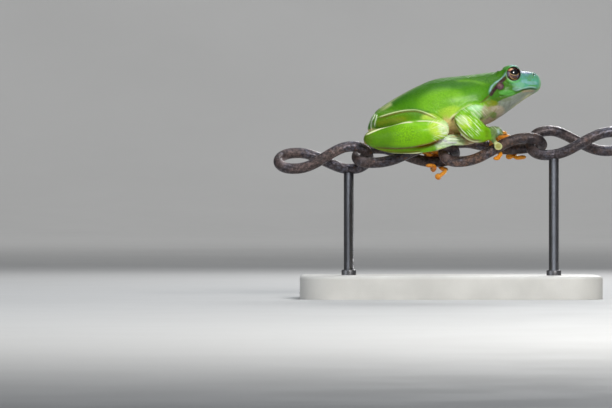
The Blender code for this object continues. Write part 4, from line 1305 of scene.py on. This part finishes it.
def eye_material():
    """Iris and pupil in the eye's own forward and upward, under a clear coat."""
    recipe = Recipe("eye")
    joined = recipe.node("ShaderNodeCombineXYZ")
    recipe.feed(joined.inputs["X"], recipe.kept("eye_forward"))
    recipe.feed(joined.inputs["Y"], recipe.kept("eye_upward"))
    place = joined.outputs["Vector"]
    upward = recipe.kept("eye_upward")
    from_pupil = recipe.oval(place, (0, 0), PUPIL)
    flecks = recipe.spots(recipe.place(), 2600, 0.46, 0.70, 4.0, 0.7)
    iris = recipe.mix(flecks, IRIS_BROWN, IRIS_FLECK)
    for middle, radii, turn, tone in IRIS_SPOTS:
        from_spot = recipe.oval(place, middle, radii, turn)
        iris = recipe.mix(recipe.band(from_spot, 1.2, 0.7), iris, tone)
    from_arc = recipe.oval(place, (0.1, -0.3), (1.42, 1.42))
    arc = recipe.times(recipe.band(from_arc, 0.90, 0.98), recipe.band(from_arc, 1.10, 1.02))
    arc = recipe.times(arc, recipe.band(upward, -0.1, -0.6))
    arc_tone = recipe.mix(recipe.band(upward, -0.6, -1.5), IRIS_PINK, IRIS_GOLD)
    iris = recipe.mix(recipe.times(arc, 0.65), iris, arc_tone)
    below = recipe.times(recipe.band(from_pupil, 1.24, 1.10), recipe.band(upward, -0.05, -0.4))
    iris = recipe.mix(recipe.times(below, 0.65), iris, IRIS_GOLD)
    from_rim = recipe.oval(place, (-0.42, -0.36), (1.85, 1.85))
    iris = recipe.mix(recipe.band(from_rim, 0.86, 0.98), iris, IRIS_RIM)
    return recipe.finish(
        Base_Color=recipe.mix(recipe.band(from_pupil, 1.03, 0.95), iris, PUPIL_BLACK),
        Roughness=recipe.band(flecks, 0, 1, 0.20, 0.32),
        Specular_IOR_Level=0.2,
        Coat_Weight=1.0,
        Coat_Roughness=0.03,
    )


# %% Set two copies of the eyeball in their place
EYE_LOOKS = (0.34, 1.0, 0.25)  # forward, outward and up


def set_eyeball(side, name):
    """A copy that looks outward, with its own forward and upward kept at its points."""
    select_only(eyeball)
    bpy.ops.object.duplicate()
    ball = bpy.context.active_object
    ball.name = name
    ball.data.name = name
    corners = np.array([vertex.co for vertex in ball.data.vertices]) / MM
    add_values(ball, "eye_forward", -side * corners[:, 0])
    add_values(ball, "eye_upward", corners[:, 1])
    looks = Vector((EYE_LOOKS[0], side * EYE_LOOKS[1], EYE_LOOKS[2]))
    ball.rotation_euler = looks.to_track_quat("Z", "Y").to_euler()
    ball.location = (EYE[0] * MM, side * EYE[1] * MM, (EYE[2] + PERCH) * MM)
    bpy.ops.object.transform_apply(location=True, rotation=True, scale=True)
    return ball


eye_look = eye_material()
for side, name in ((-1, "right"), (1, "left")):
    ball = set_eyeball(side, "eyeball_" + name)
    ball.data.materials.append(eye_look)
    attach(ball, "root")
    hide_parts("eye_" + name)
    print(ball.name, triangles(ball), "triangles")
bpy.data.objects.remove(eyeball)

# %% [markdown]
# ## The chain
#
# Each link is one bent wire, first formed as a flat ring and then twisted. The wire could be
# swept anew along a curve, but the solids already hold its true bends. So copies of them are
# rounded by subdivision and brought back to the wire's real thickness. Rust eats the steel
# unevenly, and where links rub in one another the metal stays bright; there a pale pink is
# painted, which also stands for a highlight. Some links are painted darker towards one end.

# %% Rusted steel
RUST_DARK = (0.042, 0.024, 0.018)
RUST_PALE = (0.200, 0.112, 0.082)
STEEL_DARK = (0.050, 0.044, 0.050)
STEEL_PALE = (0.130, 0.130, 0.165)
RUST_STAIN = (0.26, 0.10, 0.035)
WEAR_AND_HIGHLIGHT_PINK = (0.42, 0.34, 0.34)
DARKER_END_TONE = (0.022, 0.016, 0.014)


def rusty_material():
    """Dark steel under patches of rust, bright where it is worn, with a painted highlight there, and
    darker towards some ends.
    """
    recipe = Recipe("rusted_steel")
    place = recipe.place()
    grains = recipe.spots(place, 1400, 0.40, 0.66, 4.0, 0.7)
    patches = recipe.times(recipe.spots(place, 260, 0.36, 0.60, 5.0, 0.6), recipe.kept("rust"))
    scale = recipe.mix(grains, RUST_DARK, RUST_PALE)
    base = recipe.mix(patches, recipe.mix(grains, STEEL_DARK, STEEL_PALE), scale)
    stains = recipe.times(recipe.spots(place, 620, 0.60, 0.72, 4.0, 0.65), recipe.kept("rust"))
    base = recipe.mix(recipe.times(stains, 0.6), base, RUST_STAIN)
    base = recipe.mix(recipe.times(recipe.kept("worn"), 0.6), base, WEAR_AND_HIGHLIGHT_PINK)
    base = recipe.mix(recipe.kept("grime"), base, DARKER_END_TONE)
    flakes = recipe.spots(place, 600, 0.0, 1.0, 4.0, 0.6)
    pits = recipe.spots(place, 1800, 0.0, 1.0, 3.0, 0.6)
    return recipe.finish(
        Base_Color=base,
        Metallic=recipe.band(patches, 0, 1, 0.75, 0.15),
        Roughness=recipe.band(patches, 0, 1, 0.30, 0.62),
        Normal=recipe.relief(flakes, 0.00014, pits, 0.00009),
    )


# %% Chain links
LINK_LOOKS = {  # share of rust, and how much darker the link is painted at its left and right end
    "chain_link_1": (0.65, 0.20, 0.10),
    "chain_link_2": (0.75, 0.40, 0.35),
    "chain_link_3": (1.0, 0.0, 0.50),
    "chain_link_4": (0.5, 0.30, 0.30),
}
HOOKS = [(-43.0, -2.4), (-22.7, -1.35), (-0.9, -0.8), (22.5, 1.5)]  # where links rub
WEAR_AND_HIGHLIGHT_WIDTH = 0.9
WIRE_LOSS = 0.11  # what rounding takes off the wire

steel = rusty_material()
for node, (rust, left, right) in LINK_LOOKS.items():
    wire = copy_of(node, "rusty_" + node)
    edit(wire, lambda: bpy.ops.mesh.tris_convert_to_quads())
    apply_modifier(wire, "SUBSURF", levels=2, render_levels=2)
    apply_modifier(wire, "DISPLACE", strength=WIRE_LOSS * MM, mid_level=0.0)
    select_only(wire)
    bpy.ops.object.shade_smooth()
    spots = points_of(wire)
    side_view = spots[:, [0, 2]]
    # Worn metal where links rub, painted pale pink, which also stands for a highlight
    from_hooks = [np.linalg.norm(side_view - np.array(hook), axis=1) for hook in HOOKS]
    add_values(wire, "worn", sum(bell(distance, WEAR_AND_HIGHLIGHT_WIDTH) for distance in from_hooks))
    add_values(wire, "rust", np.full(len(spots), rust))
    low, high = spots[:, 0].min(), spots[:, 0].max()
    to_right = ramp(spots[:, 0], 0.6 * low + 0.4 * high, 0.3 * low + 0.7 * high)
    add_values(wire, "grime", left + (right - left) * to_right)
    wire.data.materials.clear()
    wire.data.materials.append(steel)
    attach(wire, "root")
    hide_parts(node)
    print(wire.name, triangles(wire))

# %% [markdown]
# ## The display stand
#
# A museum model needs a quiet stand: a slab with rounded corners and softened edges, and two
# thin rods that carry the outer links. Both start as primitives that are cut and bevelled, as a
# workshop would do it, and the rods' tops are hollowed to the wire that they carry.

# %% Helpers for the stand
TINY = 0.01 * MM


def box_of(node):
    """The low and the high corner of a node's box."""
    low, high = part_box(node)
    return Vector(low), Vector(high)


def stand_material(name, tone, roughness, metallic):
    """A plain finish, a little cloudy in tone and finely grained in gloss."""
    recipe = Recipe(name)
    place = recipe.place()
    darker = tuple(0.86 * value for value in tone)
    gloss = recipe.spots(place, 1500, 0.3, 0.7, 2.0)
    waves = recipe.spots(place, 300, 0.0, 1.0)
    grains = recipe.spots(place, 4200, 0.0, 1.0)
    return recipe.finish(
        Base_Color=recipe.mix(recipe.spots(place, 90, 0.3, 0.7), darker, tone),
        Roughness=recipe.band(gloss, 0, 1, roughness - 0.05, roughness + 0.06),
        Metallic=metallic,
        Normal=recipe.relief(waves, 0.00002, grains, 0.00002),
    )


def finish_piece(thing, node, look):
    """Gives a piece of the stand its shading and finish, ties it to the root body, and hides the node
    it stands for.
    """
    select_only(thing)
    bpy.ops.object.shade_smooth_by_angle(angle=math.radians(35))
    thing.data.materials.clear()
    thing.data.materials.append(look)
    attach(thing, "root")
    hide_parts(node)


# %% Base slab
SLAB_CORNER = 9.0 * MM
SLAB_EDGE = 0.9 * MM
SLAB_TONE = (0.62, 0.61, 0.58)

low, high = box_of("stand_base")
slab_top = high.z
bpy.ops.object.select_all(action="DESELECT")
bpy.ops.mesh.primitive_cube_add(size=1, location=(low + high) / 2, scale=high - low)
slab = bpy.context.active_object
slab.name = "display_base"
slab.data.name = "display_base"
bpy.ops.object.transform_apply(location=True, rotation=True, scale=True)
choose(slab, "EDGE", lambda corners: abs(corners[0].z - corners[1].z) > 1 * MM)
bpy.ops.mesh.bevel(offset=SLAB_CORNER, segments=14)
bpy.ops.object.mode_set(mode="OBJECT")
choose(slab, "EDGE", lambda corners: all(corner.z > slab_top - TINY for corner in corners))
bpy.ops.mesh.bevel(offset=SLAB_EDGE, segments=5)
bpy.ops.object.mode_set(mode="OBJECT")
slab_look = stand_material("stand_base", SLAB_TONE, 0.5, 0.0)
finish_piece(slab, "stand_base", slab_look)
print("base", [round(side / MM, 1) for side in high - low], "mm")

# %% Rods, each with a low collar
COLLAR_HEIGHT = 1.4 * MM
COLLAR_WIDTH = 0.6 * MM  # how far the collar stands out from the rod
COLLAR_ROUND = 0.3 * MM
ROD_TONE = (0.16, 0.16, 0.17)


def rod_on_base(side, wire):
    """A collar is drawn up into a rod as far as the wire, which then cuts its seat."""
    low, high = box_of("stand_rod_" + side)
    middle = (low + high) / 2
    radius = (high.x - low.x) / 2
    level = slab_top + COLLAR_HEIGHT
    bpy.ops.object.select_all(action="DESELECT")
    bpy.ops.mesh.primitive_cylinder_add(
        vertices=48,
        radius=radius + COLLAR_WIDTH,
        depth=COLLAR_HEIGHT,
        location=(middle.x, middle.y, slab_top + COLLAR_HEIGHT / 2),
    )
    rod = bpy.context.active_object
    rod.name = "display_rod_" + side
    rod.data.name = rod.name
    bpy.ops.object.transform_apply(location=True, rotation=True, scale=True)
    choose(rod, "FACE", lambda corners: all(corner.z > level - TINY for corner in corners))
    bpy.ops.mesh.inset(thickness=COLLAR_WIDTH)
    bpy.ops.mesh.extrude_region_move(TRANSFORM_OT_translate={"value": (0, 0, high.z - level)})
    bpy.ops.object.mode_set(mode="OBJECT")

    def on_collar_rim(corners):
        reach = [math.hypot(corner.x - middle.x, corner.y - middle.y) for corner in corners]
        return all(abs(corner.z - level) < TINY for corner in corners) and min(reach) > radius + TINY

    choose(rod, "EDGE", on_collar_rim)
    bpy.ops.mesh.bevel(offset=COLLAR_ROUND, segments=4)
    bpy.ops.object.mode_set(mode="OBJECT")
    apply_modifier(rod, "BOOLEAN", operation="DIFFERENCE", object=wire, solver="EXACT")
    print(rod.name, triangles(rod), "triangles")
    return rod


rod_look = stand_material("stand_rod", ROD_TONE, 0.35, 0.9)
for side, link in (("left", "chain_link_1"), ("right", "chain_link_4")):
    rod = rod_on_base(side, bpy.data.objects["rusty_" + link])
    finish_piece(rod, "stand_rod_" + side, rod_look)

# %% [markdown]
# ## Floor, light and camera
#
# The model stands on a pale table that curves up into a backdrop, as in a photo studio. A soft
# key light comes from the front right and above, a wide sky light from over the frog, a weak
# fill from the front left, and a rim light from behind. One more lamp lights the backdrop. The
# camera is where the photographer's was: level with the chain, square to the frog's side, with
# a long lens.

# %% Table and backdrop
FLOOR_WIDTH = 8.0  # these are in metres
FLOOR_NEAR = 2.6
FLOOR_DEPTH = 2.3
BACK_CURVE = 0.8
BACK_HEIGHT = 3.0
TABLE_GREY = (0.46, 0.46, 0.455)
TABLE_PALE = (0.50, 0.50, 0.495)


def table_material():
    recipe = Recipe("table")
    place = recipe.place()
    return recipe.finish(
        Base_Color=recipe.mix(recipe.spots(place, 6, 0.0, 1.0, 2.0), TABLE_GREY, TABLE_PALE),
        Roughness=recipe.band(recipe.spots(place, 40, 0.3, 0.7), 0, 1, 0.66, 0.74),
    )


bpy.ops.object.select_all(action="DESELECT")
bpy.ops.mesh.primitive_plane_add(size=1, location=(0, (FLOOR_DEPTH - FLOOR_NEAR) / 2, 0))
table = bpy.context.active_object
table.name = "table"
table.scale = (FLOOR_WIDTH, FLOOR_DEPTH + FLOOR_NEAR, 1)
bpy.ops.object.transform_apply(location=True, rotation=True, scale=True)
choose(table, "EDGE", lambda corners: all(corner.y > FLOOR_DEPTH - 1 * MM for corner in corners))
bpy.ops.mesh.spin(
    steps=12,
    angle=math.radians(-90),
    center=(0, FLOOR_DEPTH, BACK_CURVE),
    axis=(1, 0, 0),
)
bpy.ops.mesh.extrude_region_move(
    TRANSFORM_OT_translate={"value": (0, 0, BACK_HEIGHT - BACK_CURVE)}
)
bpy.ops.object.mode_set(mode="OBJECT")
edit(table, lambda: bpy.ops.mesh.remove_doubles(threshold=TINY))
edit(table, lambda: bpy.ops.mesh.normals_make_consistent(inside=False))
select_only(table)
bpy.ops.object.shade_smooth()
table.data.materials.append(table_material())
corners = np.array([corner.co for corner in table.data.vertices])
print("table from", corners.min(axis=0).round(2), "to", corners.max(axis=0).round(2), "m")


# %% Lights
def soft_light(name, place, aim, size, power, tint):
    """A square lamp, with its place and size in metres and its power in watts."""
    bpy.ops.object.select_all(action="DESELECT")
    bpy.ops.object.light_add(type="AREA", location=place)
    lamp = bpy.context.active_object
    lamp.name = name
    lamp.data.size = size
    lamp.data.energy = power
    lamp.data.color = tint
    lamp.rotation_euler = (Vector(aim) - Vector(place)).to_track_quat("-Z", "Y").to_euler()
    return lamp


subject = (0, 0, 0.045)
lamps = [
    soft_light("key", (0.18, -0.50, 0.27), subject, 0.10, 2.2, (1.0, 0.98, 0.94)),
    soft_light("fill", (-0.45, -0.35, 0.12), subject, 0.40, 1.0, (0.92, 0.96, 1.0)),
    soft_light("rim", (0.12, 0.42, 0.30), subject, 0.18, 1.3, (1.0, 1.0, 1.0)),
    soft_light("sky", (0.0, -0.05, 0.60), subject, 0.40, 1.7, (0.86, 0.92, 1.0)),
    soft_light("backdrop", (0.0, 1.9, 1.8), (0, 3.0, 0.4), 1.6, 24.0, (1.0, 1.0, 1.0)),
]
print("lamps:", [lamp.name for lamp in lamps])
world = bpy.data.worlds.new("studio")
bpy.context.scene.world = world
world.use_nodes = True
world.node_tree.nodes["Background"].inputs["Color"].default_value = (0.85, 0.88, 0.92, 1)
world.node_tree.nodes["Background"].inputs["Strength"].default_value = 0.18

# %% Camera
SENSOR = 36.0
LENS = 300.0
PHOTO_WIDTH = 612
MM_PER_PIXEL = 0.26
DISTANCE = PHOTO_WIDTH * MM_PER_PIXEL * LENS / SENSOR  # to the frog's middle plane
PHOTO_MIDDLE = (-37.4, 24.5)  # sideways and up, on the frog's middle plane, in millimetres

bpy.ops.object.select_all(action="DESELECT")
bpy.ops.object.camera_add(
    location=(PHOTO_MIDDLE[0] * MM, -DISTANCE * MM, PHOTO_MIDDLE[1] * MM),
    rotation=(math.radians(90), 0, 0),
)
camera = bpy.context.active_object
camera.name = "camera"
camera.data.lens = LENS
camera.data.sensor_width = SENSOR
camera.data.clip_start = 0.01
camera.data.clip_end = 20
bpy.context.scene.camera = camera
bpy.context.scene.view_settings.view_transform = "Standard"
print("camera", round(DISTANCE), "mm away")
